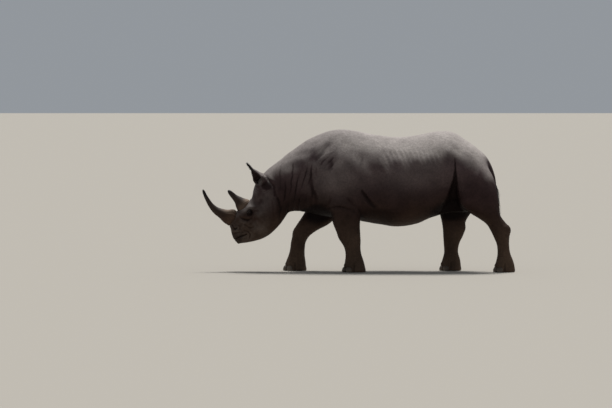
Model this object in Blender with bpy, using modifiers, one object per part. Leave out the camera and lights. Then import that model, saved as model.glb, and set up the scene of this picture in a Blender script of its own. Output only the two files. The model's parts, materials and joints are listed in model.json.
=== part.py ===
"""A black rhinoceros walking with its head lowered, as a still life-size model in named solids.

The head points to -X and the left side to -Y, in metres, with +Z up and the soles at z = 0.
The flesh is modelled whole: a body lofted from the rump to the lip, four legs and a tail are
fused, smoothed and shaped with swellings and folds, and then parted by thin cuts. Horns, ears,
eyes and toenails are solids of their own that meet the flesh across a small gap.
"""

import math

import bmesh
import bpy
import numpy as np
from mathutils import Matrix, Vector

# Driving dimensions
WITHERS_HEIGHT = 1.53
BARREL_WIDTH = 0.76
HEAD_WIDTH = 0.33
EAR_LENGTH = 0.269
EAR_WIDTH = 0.131
EAR_THICKNESS = 0.008
EYE_RADIUS = 0.021

# How the solids are made and parted
CUT_WIDTH = 0.0005
CONTACT_GAP = 0.0004
VOXEL = 0.013
FLESH_TRIANGLES = 3000
RING_POINTS = 48
ROWS_PER_STATION = 7
REGION_POINTS = 16

HALF_BARREL = BARREL_WIDTH / 2
HALF_HEAD = HEAD_WIDTH / 2
EYE = (-1.150, 0.131, 0.636)

# The ear: where its root is, how it is turned about its own axis, outwards and forwards, its
# half width along its length as a share of the widest, and the angle its roll closes through.
EAR_BASE = (-1.015, 0.105, 0.942)
EAR_TURN, EAR_OUTWARD, EAR_FORWARD = -38, 19, -36
EAR_HALF_WIDTH = (
    (0.00, 0.15, 0.30, 0.45, 0.60, 0.72, 0.85, 1.00),
    (0.90, 1.00, 0.94, 0.64, 0.43, 0.18, 0.11, 0.03),
)
EAR_ROLL = ((0.00, 0.15, 0.40, 1.00), (2.90, 2.45, 1.85, 1.20))
EAR_BEND = 0.004
EAR_ROWS = 9

# The body from the rump to the lip. Each station is a slice through the middle plane, from its
# back point to its belly point (x, z), with its half width, the share of its height at which it
# is widest, and how square its upper and lower halves are (2 is an ellipse).
BODY = {
    "seat": ((1.440, 1.03), (1.420, 0.80), 0.11, 0.50, 2.0, 2.0),
    "buttock": ((1.402, 1.177), (1.350, 0.700), 0.225, 0.55, 2.0, 2.2),
    "tail_head": ((1.314, 1.306), (1.240, 0.650), 0.275, 0.54, 2.0, 2.2),
    "croup": ((1.185, 1.405), (1.110, 0.635), 0.81 * HALF_BARREL, 0.53, 1.9, 2.2),
    "hips": ((1.030, 1.486), (0.960, 0.625), 0.87 * HALF_BARREL, 0.52, 1.95, 2.1),
    "flank": ((0.850, 1.503), (0.810, 0.582), 0.93 * HALF_BARREL, 0.47, 2.0, 2.1),
    "loin": ((0.640, 1.463), (0.630, 0.508), 0.99 * HALF_BARREL, 0.43, 2.0, 2.1),
    "belly": ((0.430, 1.446), (0.440, 0.484), 1.00 * HALF_BARREL, 0.42, 2.0, 2.1),
    "ribs": ((0.200, 1.470), (0.210, 0.512), 0.96 * HALF_BARREL, 0.42, 1.95, 2.1),
    "girth": ((0.000, 1.508), (0.010, 0.548), 0.89 * HALF_BARREL, 0.42, 1.85, 2.1),
    "withers": ((-0.190, WITHERS_HEIGHT), (-0.190, 0.575), 0.82 * HALF_BARREL, 0.42, 1.8, 2.1),
    "shoulder": ((-0.370, 1.488), (-0.380, 0.600), 0.76 * HALF_BARREL, 0.42, 1.8, 2.0),
    "neck_base": ((-0.540, 1.410), (-0.560, 0.640), 0.68 * HALF_BARREL, 0.44, 1.8, 1.9),
    "neck": ((-0.700, 1.298), (-0.680, 0.648), 0.59 * HALF_BARREL, 0.46, 1.9, 1.9),
    "nape": ((-0.850, 1.180), (-0.735, 0.632), 1.17 * HALF_HEAD, 0.48, 2.0, 1.9),
    "poll": ((-0.975, 1.080), (-0.780, 0.570), 1.04 * HALF_HEAD, 0.52, 2.1, 2.0),
    "crown": ((-1.065, 0.985), (-0.825, 0.508), 1.00 * HALF_HEAD, 0.56, 2.3, 2.0),
    "forehead": ((-1.108, 0.880), (-0.880, 0.448), 0.98 * HALF_HEAD, 0.60, 2.4, 2.0),
    "brow": ((-1.130, 0.785), (-0.950, 0.388), 0.92 * HALF_HEAD, 0.64, 2.5, 2.0),
    "horn_seat": ((-1.185, 0.715), (-1.025, 0.348), 0.80 * HALF_HEAD, 0.64, 2.4, 2.0),
    "bridge": ((-1.262, 0.662), (-1.100, 0.326), 0.67 * HALF_HEAD, 0.60, 2.3, 2.1),
    "nose": ((-1.325, 0.600), (-1.160, 0.316), 0.60 * HALF_HEAD, 0.56, 2.3, 2.2),
    "nostril": ((-1.358, 0.515), (-1.205, 0.308), 0.58 * HALF_HEAD, 0.50, 2.3, 2.3),
    "muzzle": ((-1.354, 0.435), (-1.240, 0.303), 0.49 * HALF_HEAD, 0.48, 2.2, 2.2),
    "lip": ((-1.330, 0.360), (-1.277, 0.295), 0.26 * HALF_HEAD, 0.50, 2.0, 2.0),
}

# Each leg as level slices from the top down: height, front edge and back edge along x, and the
# inner and outer edges as distances from the middle plane. The topmost slices lie in the body.
LEGS = {
    "leg_front_left": (
        -1,
        (
            (1.08, -0.360, -0.02, 0.06, 0.235),
            (0.88, -0.370, 0.040, 0.06, 0.285),
            (0.74, -0.325, 0.062, 0.07, 0.290),
            (0.64, -0.285, 0.046, 0.08, 0.278),
            (0.50, -0.250, 0.032, 0.09, 0.268),
            (0.40, -0.208, 0.036, 0.095, 0.264),
            (0.33, -0.172, 0.038, 0.095, 0.258),
            (0.26, -0.138, 0.034, 0.10, 0.250),
            (0.20, -0.126, 0.042, 0.10, 0.252),
            (0.13, -0.128, 0.066, 0.09, 0.262),
            (0.06, -0.138, 0.086, 0.075, 0.275),
            (0.00, -0.142, 0.092, 0.07, 0.280),
            (-0.04, -0.142, 0.092, 0.07, 0.280),
        ),
    ),
    "leg_front_right": (
        1,
        (
            (1.08, -0.420, -0.06, 0.06, 0.235),
            (0.88, -0.470, -0.06, 0.06, 0.280),
            (0.74, -0.520, -0.120, 0.07, 0.282),
            (0.64, -0.560, -0.180, 0.08, 0.275),
            (0.56, -0.605, -0.235, 0.09, 0.270),
            (0.49, -0.648, -0.320, 0.095, 0.265),
            (0.43, -0.676, -0.435, 0.10, 0.262),
            (0.37, -0.692, -0.512, 0.10, 0.258),
            (0.31, -0.708, -0.550, 0.10, 0.252),
            (0.24, -0.716, -0.562, 0.10, 0.248),
            (0.17, -0.734, -0.562, 0.095, 0.255),
            (0.09, -0.762, -0.550, 0.08, 0.272),
            (0.00, -0.776, -0.542, 0.07, 0.280),
            (-0.04, -0.776, -0.542, 0.07, 0.280),
        ),
    ),
    "leg_hind_left": (
        -1,
        (
            (1.20, 1.020, 1.290, 0.04, 0.205),
            (1.13, 1.020, 1.392, 0.04, 0.258),
            (1.06, 1.020, 1.437, 0.04, 0.292),
            (0.92, 1.030, 1.488, 0.05, 0.320),
            (0.79, 1.060, 1.512, 0.06, 0.318),
            (0.69, 1.120, 1.528, 0.07, 0.298),
            (0.61, 1.240, 1.548, 0.085, 0.275),
            (0.53, 1.370, 1.590, 0.095, 0.258),
            (0.445, 1.432, 1.640, 0.10, 0.248),
            (0.38, 1.462, 1.634, 0.105, 0.240),
            (0.29, 1.498, 1.632, 0.115, 0.232),
            (0.20, 1.504, 1.642, 0.11, 0.235),
            (0.12, 1.488, 1.672, 0.095, 0.250),
            (0.06, 1.474, 1.688, 0.085, 0.262),
            (0.00, 1.470, 1.690, 0.08, 0.265),
            (-0.04, 1.470, 1.690, 0.08, 0.265),
        ),
    ),
    "leg_hind_right": (
        1,
        (
            (1.20, 0.940, 1.280, 0.04, 0.205),
            (1.13, 0.910, 1.370, 0.04, 0.256),
            (1.06, 0.890, 1.400, 0.04, 0.290),
            (0.92, 0.862, 1.415, 0.05, 0.320),
            (0.79, 0.860, 1.375, 0.06, 0.315),
            (0.69, 0.878, 1.300, 0.07, 0.295),
            (0.61, 0.900, 1.225, 0.085, 0.275),
            (0.53, 0.922, 1.180, 0.095, 0.258),
            (0.445, 0.934, 1.168, 0.10, 0.248),
            (0.38, 0.936, 1.152, 0.105, 0.240),
            (0.29, 0.944, 1.112, 0.115, 0.234),
            (0.20, 0.948, 1.098, 0.11, 0.235),
            (0.12, 0.928, 1.120, 0.095, 0.250),
            (0.06, 0.912, 1.128, 0.085, 0.262),
            (0.00, 0.908, 1.130, 0.08, 0.265),
            (-0.04, 0.908, 1.130, 0.08, 0.265),
        ),
    ),
}

# The tail hangs close behind the buttocks: points (x, z) down its middle and its radius there.
TAIL = (
    (1.225, 1.300, 0.050),
    (1.322, 1.264, 0.037),
    (1.412, 1.162, 0.028),
    (1.464, 1.040, 0.022),
    (1.490, 0.900, 0.018),
    (1.498, 0.780, 0.016),
    (1.502, 0.690, 0.013),
)

# Horns: points (x, z) up the middle of the horn, with its half thickness in the middle plane
# and its half width across. The first points lie in the head.
HORNS = {
    "horn_front": (
        (-1.310, 0.560, 0.076, 0.066),
        (-1.345, 0.577, 0.090, 0.074),
        (-1.392, 0.592, 0.078, 0.064),
        (-1.445, 0.618, 0.056, 0.050),
        (-1.511, 0.654, 0.0400, 0.037),
        (-1.565, 0.707, 0.0290, 0.028),
        (-1.603, 0.767, 0.0225, 0.022),
        (-1.633, 0.825, 0.0170, 0.017),
        (-1.650, 0.868, 0.0110, 0.011),
        (-1.655, 0.880, 0.0045, 0.0045),
    ),
    "horn_rear": (
        (-1.190, 0.652, 0.066, 0.055),
        (-1.212, 0.698, 0.088, 0.068),
        (-1.245, 0.732, 0.070, 0.058),
        (-1.275, 0.763, 0.048, 0.041),
        (-1.311, 0.795, 0.033, 0.028),
        (-1.347, 0.832, 0.026, 0.021),
        (-1.373, 0.859, 0.018, 0.016),
        (-1.385, 0.871, 0.008, 0.008),
    ),
}

# Where each foot stands: the centre of its sole (x, y) and the half length and half width of the
# foot at the height of the toenails. Three nails look forward from it, the middle one broadest.
FEET = {
    "front_left": (-0.028, -0.176, 0.116, 0.102),
    "front_right": (-0.660, 0.176, 0.116, 0.102),
    "hind_left": (1.582, -0.174, 0.106, 0.090),
    "hind_right": (1.021, 0.174, 0.108, 0.090),
}
NAILS = {"inner": (-56, 0.036), "middle": (0, 0.052), "outer": (56, 0.036)}
NAIL_HEIGHT = 0.062

# Muscle and bone under the hide, and hollows, the same on both sides: centre, radii and height.
SWELLINGS = {
    "hip_bone": ((0.93, 0.25, 1.30), (0.10, 0.09, 0.09), 0.012),
    "shoulder_blade": ((-0.20, 0.27, 1.22), (0.06, 0.12, 0.20), 0.012),
    "point_of_shoulder": ((-0.28, 0.28, 0.92), (0.13, 0.12, 0.13), 0.016),
    "haunch": ((1.25, 0.30, 0.98), (0.16, 0.12, 0.18), 0.014),
    "cheek": ((-0.99, 0.15, 0.60), (0.10, 0.08, 0.09), 0.010),
    "brow": ((-1.11, 0.15, 0.70), (0.05, 0.05, 0.035), 0.013),
    "cheek_bone": ((-1.07, 0.16, 0.61), (0.05, 0.05, 0.03), 0.011),
    "nostril_rim": ((-1.325, 0.085, 0.485), (0.04, 0.03, 0.04), 0.010),
    "nostril": ((-1.318, 0.098, 0.470), (0.017, 0.05, 0.012), -0.016),
    "eye_socket": (EYE, (0.026, 0.05, 0.020), -0.013),
    "temple": ((-1.02, 0.17, 0.72), (0.07, 0.06, 0.05), -0.008),
}

# The fold behind each elbow, and the mouth: the way along it in the side view, its half widths
# and its depths.
ELBOW_FOLDS = {
    -1: (((0.060, 0.86), (0.095, 0.78), (0.17, 0.69)), (0.030, 0.036), (0.010, 0.015)),
    1: (((-0.050, 0.86), (-0.015, 0.78), (0.06, 0.69)), (0.030, 0.036), (0.010, 0.015)),
}
MOUTH = (
    ((-1.300, 0.345), (-1.262, 0.372), (-1.215, 0.392), (-1.165, 0.402)),
    (0.011, 0.012),
    (0.010, 0.008),
)
MOUTH_CORNER = -1.14

# The pocket in front of each thigh, where a skin hangs from the flank to the knee: the way its
# middle runs down, its half widths, and how far its floor lies in from the outside.
POCKETS = {
    -1: (
        ((1.042, 1.225), (1.044, 1.10), (1.043, 1.00), (1.030, 0.85), (1.020, 0.70), (1.015, 0.58)),
        (0.010, 0.018, 0.028, 0.056, 0.105, 0.130),
        (0.004, 0.022, 0.050, 0.105, 0.160, 0.180),
    ),
    1: (
        ((0.985, 1.225), (0.978, 1.10), (0.960, 1.00), (0.915, 0.85), (0.862, 0.70), (0.840, 0.58)),
        (0.010, 0.016, 0.024, 0.036, 0.050, 0.060),
        (0.004, 0.018, 0.036, 0.065, 0.085, 0.095),
    ),
}
NEAREST_POCKET = 0.10

# The planes that part the neck from the trunk and the head: a point on each and its direction.
NECK_CUT = (-0.46, 0, 1.0), (-0.985, 0, 0.17)
HEAD_CUT = (-0.845, 0, 0.86), (-0.936, 0, -0.353)

# The outline (x, z) that parts each leg from the trunk, from the front of the foot up over the
# shoulder or haunch and down behind.
LEG_OUTLINES = {
    "leg_front_left": (
        (-0.40, -0.1), (-0.39, 0.30), (-0.40, 0.56), (-0.38, 0.72), (-0.34, 0.88),
        (-0.24, 1.00), (-0.13, 1.03), (-0.02, 0.98), (0.05, 0.86), (0.09, 0.72),
        (0.12, 0.56), (0.12, 0.30), (0.13, -0.1),
    ),
    "leg_front_right": (
        (-0.90, -0.1), (-0.86, 0.30), (-0.76, 0.60), (-0.60, 0.68), (-0.50, 0.86),
        (-0.38, 1.00), (-0.26, 1.03), (-0.14, 0.98), (-0.05, 0.86), (-0.01, 0.72),
        (-0.03, 0.54), (-0.25, 0.30), (-0.50, -0.1),
    ),
    "leg_hind_left": (
        (1.36, -0.1), (1.25, 0.40), (1.10, 0.60), (1.06, 0.80), (1.05, 1.00),
        (1.085, 1.18), (1.18, 1.26), (1.29, 1.23), (1.39, 1.12), (1.56, 1.00),
        (1.66, 0.80), (1.76, 0.40), (1.80, -0.1),
    ),
    "leg_hind_right": (
        (0.80, -0.1), (0.78, 0.40), (0.80, 0.60), (0.90, 0.80), (0.98, 1.00),
        (1.06, 1.18), (1.16, 1.26), (1.28, 1.23), (1.39, 1.12), (1.50, 1.00),
        (1.50, 0.80), (1.40, 0.40), (1.34, -0.1),
    ),
}


def smooth_through(keys, values, at):
    """A smooth curve through the values at the keys: cubic pieces whose slopes are the mean of
    the slopes on either side, weighted so that uneven spacing makes no ripple."""
    keys, values = np.asarray(keys, float), np.asarray(values, float)
    rise = np.diff(values, axis=0) / np.diff(keys)[:, None]
    span = np.diff(keys)[:, None]
    inner = (rise[:-1] * span[1:] + rise[1:] * span[:-1]) / (span[1:] + span[:-1])
    slope = np.vstack([rise[:1], inner, rise[-1:]])
    piece = np.clip(np.searchsorted(keys, at, side="right") - 1, 0, len(keys) - 2)
    step = np.diff(keys)[piece][:, None]
    t = ((at - keys[piece]) / np.diff(keys)[piece])[:, None]
    start, end = values[piece], values[piece + 1]
    return (
        start * (1 + 2 * t) * (1 - t) ** 2
        + step * slope[piece] * t * (1 - t) ** 2
        + end * t**2 * (3 - 2 * t)
        + step * slope[piece + 1] * t**2 * (t - 1)
    )


def power(base, exponent):
    """A signed power, for the corners of a superellipse."""
    return np.sign(base) * np.abs(base) ** exponent


def new_object(name, mesh, collection=None):
    obj = bpy.data.objects.new(name, mesh)
    (collection or bpy.context.scene.collection).objects.link(obj)
    return obj


def solid_from(mesh, name):
    """An object with this mesh as triangles facing outwards."""
    bmesh.ops.triangulate(mesh, faces=mesh.faces)
    bmesh.ops.recalc_face_normals(mesh, faces=mesh.faces)
    data = bpy.data.meshes.new(name)
    mesh.to_mesh(data)
    mesh.free()
    return new_object(name, data)


def loft(name, rings):
    """A closed skin over rings of points, with a fan of faces at each end."""
    rows, around, _ = rings.shape
    mesh = bmesh.new()
    verts = [[mesh.verts.new(point) for point in ring] for ring in rings]
    for low, high in zip(verts[:-1], verts[1:]):
        for i in range(around):
            j = (i + 1) % around
            mesh.faces.new((low[i], low[j], high[j], high[i]))
    for ring in (verts[0], verts[-1]):
        hub = mesh.verts.new(sum((v.co for v in ring), Vector()) / around)
        for i in range(around):
            mesh.faces.new((ring[i], ring[(i + 1) % around], hub))
    return solid_from(mesh, name)


def dense_rows(stations, distances):
    """The stations' values at ROWS_PER_STATION rows between each pair, by a smooth curve."""
    keys = np.concatenate([[0], np.cumsum(distances)])
    at = np.interp(
        np.linspace(0, len(keys) - 1, (len(keys) - 1) * ROWS_PER_STATION + 1),
        np.arange(len(keys)),
        keys,
    )
    return smooth_through(keys, stations, at)


def body_loft():
    stations = np.array([(*top, *low, *rest) for top, low, *rest in BODY.values()])
    middles = (stations[:, 0:2] + stations[:, 2:4]) / 2
    rows = dense_rows(stations, np.linalg.norm(np.diff(middles, axis=0), axis=1))
    angle = np.arange(RING_POINTS) * 2 * math.pi / RING_POINTS
    back, belly = rows[:, None, 0:2], rows[:, None, 2:4]
    half_width, widest, upper, lower = (rows[:, i, None] for i in range(4, 8))
    up = np.sin(angle)[None, :]
    squareness = np.where(up > 0, upper, lower)
    rise = power(up, 2 / squareness)
    share = widest + np.where(up > 0, 1 - widest, widest) * rise
    side = half_width * power(np.cos(angle)[None, :], 2 / squareness)
    middle = belly + (back - belly) * share[:, :, None]
    rings = np.stack([middle[:, :, 0], side, middle[:, :, 1]], axis=2)
    return loft("body", rings)


def leg_loft(name, side, slices):
    stations = np.array(slices)
    rows = dense_rows(stations, -np.diff(stations[:, 0]))
    angle = np.arange(RING_POINTS) * 2 * math.pi / RING_POINTS
    height, front, rear, inner, outer = (rows[:, i, None] for i in range(5))
    x = (front + rear) / 2 - (rear - front) / 2 * np.cos(angle)
    y = side * ((inner + outer) / 2 + (outer - inner) / 2 * np.sin(angle))
    rings = np.stack([x, y, np.broadcast_to(height, x.shape)], axis=2)
    return loft(name, rings)


def tube_rings(points, radii, across, around=RING_POINTS):
    """Rings round a path that lies in a plane; across is the unit vector square to that plane."""
    points, across = np.asarray(points, float), np.asarray(across, float)
    along = np.gradient(points, axis=0)
    along /= np.linalg.norm(along, axis=1)[:, None]
    outward = np.cross(along, across)
    angle = np.arange(around) * 2 * math.pi / around
    radii = np.asarray(radii, float)[:, None, None]
    spokes = (
        outward[:, None, :] * np.cos(angle)[None, :, None]
        + across[None, None, :] * np.sin(angle)[None, :, None]
    )
    return points[:, None, :] + radii * spokes


def tail_loft():
    stations = np.array(TAIL)
    steps = np.linalg.norm(np.diff(stations[:, :2], axis=0), axis=1)
    rows = dense_rows(stations, steps)[::3]
    points = np.stack([rows[:, 0], np.zeros(len(rows)), rows[:, 1]], axis=1)
    return loft("tail", tube_rings(points, rows[:, 2], (0, 1, 0), 8))


def apply_modifiers(obj):
    """Replaces the object's mesh by its evaluated one."""
    graph = bpy.context.evaluated_depsgraph_get()
    mesh = bpy.data.meshes.new_from_object(obj.evaluated_get(graph))
    obj.modifiers.clear()
    obj.data = mesh
    return obj


def joined(name, objects):
    """One mesh object from several."""
    mesh = bmesh.new()
    for obj in objects:
        mesh.from_mesh(obj.data)
        bpy.data.objects.remove(obj)
    data = bpy.data.meshes.new(name)
    mesh.to_mesh(data)
    mesh.free()
    return new_object(name, data)


def fused_flesh():
    parts = [body_loft()]
    parts += [leg_loft(name, side, slices) for name, (side, slices) in LEGS.items()]
    flesh = joined("flesh", parts)
    remesh = flesh.modifiers.new("fuse", "REMESH")
    remesh.mode = "VOXEL"
    remesh.voxel_size = VOXEL
    soften = flesh.modifiers.new("soften", "SMOOTH")
    soften.factor = 0.5
    soften.iterations = 5
    apply_modifiers(flesh)
    above_legs = flesh.vertex_groups.new(name="above_legs")
    for vertex in flesh.data.vertices:
        x, _, z = vertex.co
        share = min(1, max(0, (x + 0.75) / 0.15)) * min(1, max(0, (z - 0.52) / 0.15))
        above_legs.add([vertex.index], share, "REPLACE")
    blend = flesh.modifiers.new("blend", "SMOOTH")
    blend.factor = 0.5
    blend.iterations = 22
    blend.vertex_group = "above_legs"
    apply_modifiers(flesh)
    flesh.vertex_groups.clear()
    return flesh


def near_path(points, path):
    """Distance of each point from a path of straight pieces, and how far along it is, 0 to 1."""
    path = np.asarray(path, float)
    best = np.full(len(points), np.inf)
    along = np.zeros(len(points))
    for i, (start, end) in enumerate(zip(path[:-1], path[1:])):
        span = end - start
        share = np.clip((points - start) @ span / (span @ span), 0, 1)
        distance = np.linalg.norm(points - start - share[:, None] * span, axis=1)
        closer = distance < best
        best = np.where(closer, distance, best)
        along = np.where(closer, (i + share) / (len(path) - 1), along)
    return best, along


def swelling(points, centre, radii, height):
    """A round swelling, the same on both sides of the body."""
    offset = (points * (1, 0, 1) + np.abs(points) * (0, 1, 0) - centre) / radii
    return height * np.exp(-np.sum(offset**2, axis=1))


def along_it(along, values):
    return np.interp(along, np.linspace(0, 1, len(values)), values)


def groove(points, path, widths, depths):
    """A groove along a path in the side view, through both flanks."""
    distance, along = near_path(points[:, [0, 2]], path)
    return -along_it(along, depths) * np.exp(-((distance / along_it(along, widths)) ** 2))


def sunk_pocket(points, side, path, widths, depths):
    """How far the hide of one flank is drawn in towards the middle plane at its pocket."""
    distance, along = near_path(points[:, [0, 2]], path)
    share = np.clip(1.5 - 1.2 * distance / along_it(along, widths), 0, 1)
    reach = np.clip(points[:, 1] * side - NEAREST_POCKET, 0, None)
    return np.minimum(along_it(along, depths) * share**2 * (3 - 2 * share), reach)


def shaped(flesh):
    """Moves the flesh in or out along its normals: muscle and bone under the hide, the folds at
    the elbow, the eye sockets, nostrils and mouth. Then draws in the flanks' pockets."""
    mesh = flesh.data
    points = np.empty(len(mesh.vertices) * 3)
    mesh.vertices.foreach_get("co", points)
    points = points.reshape(-1, 3)
    normals = np.empty(len(mesh.vertices) * 3)
    mesh.vertex_normals.foreach_get("vector", normals)
    normals = normals.reshape(-1, 3)
    move = sum(swelling(points, *form) for form in SWELLINGS.values())
    for side, fold in ELBOW_FOLDS.items():
        move += np.where(points[:, 1] * side > 0.10, groove(points, *fold), 0)
    move += np.where(points[:, 0] < MOUTH_CORNER, groove(points, *MOUTH), 0)
    points = points + normals * move[:, None]
    for side, pocket in POCKETS.items():
        points[:, 1] -= side * sunk_pocket(points, side, *pocket)
    mesh.vertices.foreach_set("co", points.ravel())
    mesh.update()
    return flesh


def thinned(flesh):
    """Fewer faces, spent mostly on the head, with flat soles cut at z = 0."""
    fewer = flesh.vertex_groups.new(name="fewer")
    for vertex in flesh.data.vertices:
        x, _, z = vertex.co
        on_head = min(1, max(0, (-0.80 - x) / 0.2)) if z > 0.28 else 0
        on_foot = min(1, max(0, (0.22 - z) / 0.1))
        fewer.add([vertex.index], 1 - 0.8 * max(on_head, 0.5 * on_foot), "REPLACE")
    thin = flesh.modifiers.new("thin", "DECIMATE")
    thin.vertex_group = "fewer"
    thin.vertex_group_factor = 0.02
    thin.ratio = FLESH_TRIANGLES / (2 * len(flesh.data.polygons))
    apply_modifiers(flesh)
    return halved(flesh, (0, 0, 0), (0, 0, 1))


def halved(obj, point, normal):
    """Keeps the side of a plane that its normal points to, and closes it with a flat face."""
    mesh = bmesh.new()
    mesh.from_mesh(obj.data)
    everything = list(mesh.verts) + list(mesh.edges) + list(mesh.faces)
    cut = bmesh.ops.bisect_plane(
        mesh, geom=everything, plane_co=point, plane_no=normal, clear_inner=True, dist=1e-6
    )
    rim = [part for part in cut["geom_cut"] if isinstance(part, bmesh.types.BMEdge)]
    bmesh.ops.holes_fill(mesh, edges=rim, sides=0)
    bmesh.ops.triangulate(mesh, faces=mesh.faces)
    bmesh.ops.recalc_face_normals(mesh, faces=mesh.faces)
    mesh.to_mesh(obj.data)
    mesh.free()
    return obj


def copy_of(obj, name):
    return new_object(name, obj.data.copy())


def cut(obj, cutter, operation="DIFFERENCE"):
    boolean = obj.modifiers.new("cut", "BOOLEAN")
    boolean.operation = operation
    boolean.solver = "EXACT"
    boolean.object = cutter
    return apply_modifiers(obj)


def grown(obj, by):
    """A copy of a solid with its surface moved outwards, to leave a gap round the solid."""
    copy = copy_of(obj, obj.name + "_socket")
    mesh = copy.data
    points = np.empty(len(mesh.vertices) * 3)
    normals = np.empty(len(mesh.vertices) * 3)
    mesh.vertices.foreach_get("co", points)
    mesh.vertex_normals.foreach_get("vector", normals)
    mesh.vertices.foreach_set("co", points + normals * by)
    mesh.update()
    return copy


def leg_region(name, grow):
    """The space that holds one leg: its outline carried outwards from near the middle plane,
    with an arch that starts low between the legs and rises to the shoulder or haunch."""
    side = LEGS[name][0]
    outline = np.array(LEG_OUTLINES[name])
    keys = np.arange(len(outline))
    outline = smooth_through(keys, outline, np.linspace(0, len(outline) - 1, REGION_POINTS))
    middle = outline.mean(axis=0)
    outward = outline - middle
    outline = outline + grow * outward / np.linalg.norm(outward, axis=1)[:, None]
    foot = 0.50
    rings = []
    for y, rise in ((0.015 - grow, 0.22), (0.19, 0.86), (0.45, 1.06)):
        z = outline[:, 1]
        z = np.where(z > foot, foot + (z - foot) * rise, z)
        rings.append(np.stack([outline[:, 0], np.full(len(z), side * y), z], axis=1))
    return loft(name + "_region", np.array(rings))


def horn(name):
    stations = np.array(HORNS[name])
    steps = np.linalg.norm(np.diff(stations[:, :2], axis=0), axis=1)
    keys = np.concatenate([[0], np.cumsum(steps)])
    at = np.interp(np.linspace(0, len(keys) - 1, 13), np.arange(len(keys)), keys)
    rows = smooth_through(keys, stations, at)
    points = np.stack([rows[:, 0], np.zeros(len(rows)), rows[:, 1]], axis=1)
    rings = tube_rings(points, rows[:, 2], (0, 1, 0), 10)
    rings[:, :, 1] *= (rows[:, 3] / rows[:, 2])[:, None]
    return loft(name, rings)


def ear(name, side):
    """A rolled leaf: closed into a tube at the root, open in front from there to the tip. Along
    it the width swells and narrows to a point, and the roll opens out."""
    along = np.linspace(0, 1, EAR_ROWS)
    round_it = np.linspace(-1, 1, EAR_ROWS)
    u, v = np.meshgrid(along, round_it, indexing="ij")
    half = EAR_WIDTH / 2 * np.interp(u, *EAR_HALF_WIDTH)
    widest = np.interp(u, *EAR_ROLL)
    across = half * np.sin(widest * v)
    deep = half * 0.95 * (np.cos(widest * v) - 0.35 * np.cos(widest))
    bend = EAR_BEND * u**2
    mesh = bmesh.new()
    local = np.stack([across, deep - bend, EAR_LENGTH * u], axis=2)
    verts = [[mesh.verts.new(point) for point in row] for row in local]
    for low, high in zip(verts[:-1], verts[1:]):
        for i in range(len(low) - 1):
            mesh.faces.new((low[i], low[i + 1], high[i + 1], high[i]))
    data = bpy.data.meshes.new(name)
    mesh.to_mesh(data)
    mesh.free()
    blade = new_object(name, data)
    facing = Matrix.Rotation(math.radians(EAR_TURN), 4, "Z")
    outward = Matrix.Rotation(math.radians(EAR_OUTWARD), 4, "X")
    forward = Matrix.Rotation(math.radians(EAR_FORWARD), 4, "Y")
    stand = Matrix.Translation(Vector(EAR_BASE) * Vector((1, -1, 1)))
    mirror = Matrix.Diagonal((1, -side, 1, 1))
    blade.data.transform(mirror @ stand @ forward @ outward @ facing)
    shell = blade.modifiers.new("thickness", "SOLIDIFY")
    shell.thickness = EAR_THICKNESS
    shell.offset = 0
    apply_modifiers(blade)
    mesh = bmesh.new()
    mesh.from_mesh(blade.data)
    bpy.data.objects.remove(blade)
    return solid_from(mesh, name)


def eye(name, side):
    mesh = bmesh.new()
    bmesh.ops.create_uvsphere(mesh, u_segments=10, v_segments=7, radius=EYE_RADIUS)
    bmesh.ops.translate(mesh, verts=mesh.verts, vec=Vector(EYE) * Vector((1, side, 1)))
    return solid_from(mesh, name)


def toenail(foot, which):
    """A rounded shield that stands on the front of the foot, leaning back as it rises."""
    x, y, half_length, half_width = FEET[foot]
    turn, half_across = NAILS[which]
    side = math.copysign(1, y)
    turn = math.radians(turn * side)
    mesh = bmesh.new()
    bmesh.ops.create_uvsphere(mesh, u_segments=8, v_segments=5, radius=1)
    size = Matrix.Diagonal((0.024, half_across, NAIL_HEIGHT * 0.62, 1))
    lean = Matrix.Rotation(math.radians(20), 4, "Y")
    forward = Vector((-math.cos(turn) * half_length, math.sin(turn) * half_width, 0))
    place = Matrix.Translation(Vector((x, y, NAIL_HEIGHT * 0.40)) + forward * 0.93)
    heading = math.atan2(forward.y, forward.x) - math.pi
    matrix = place @ Matrix.Rotation(heading, 4, "Z") @ lean @ size
    bmesh.ops.transform(mesh, matrix=matrix, verts=mesh.verts)
    nail = solid_from(mesh, f"toenail_{foot}_{which}")
    return halved(nail, (0, 0, 0.004), (0, 0, 1))


def material_for(obj, colour, roughness):
    material = bpy.data.materials.new(obj.name + "_finish")
    material.use_nodes = True
    shader = material.node_tree.nodes["Principled BSDF"]
    shader.inputs["Base Color"].default_value = (*colour, 1)
    shader.inputs["Roughness"].default_value = roughness
    obj.data.materials.clear()
    obj.data.materials.append(material)


HIDE = (0.16, 0.135, 0.12)
HORN = (0.20, 0.16, 0.125)
NAIL = (0.22, 0.19, 0.16)
EYEBALL = (0.02, 0.012, 0.008)


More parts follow.
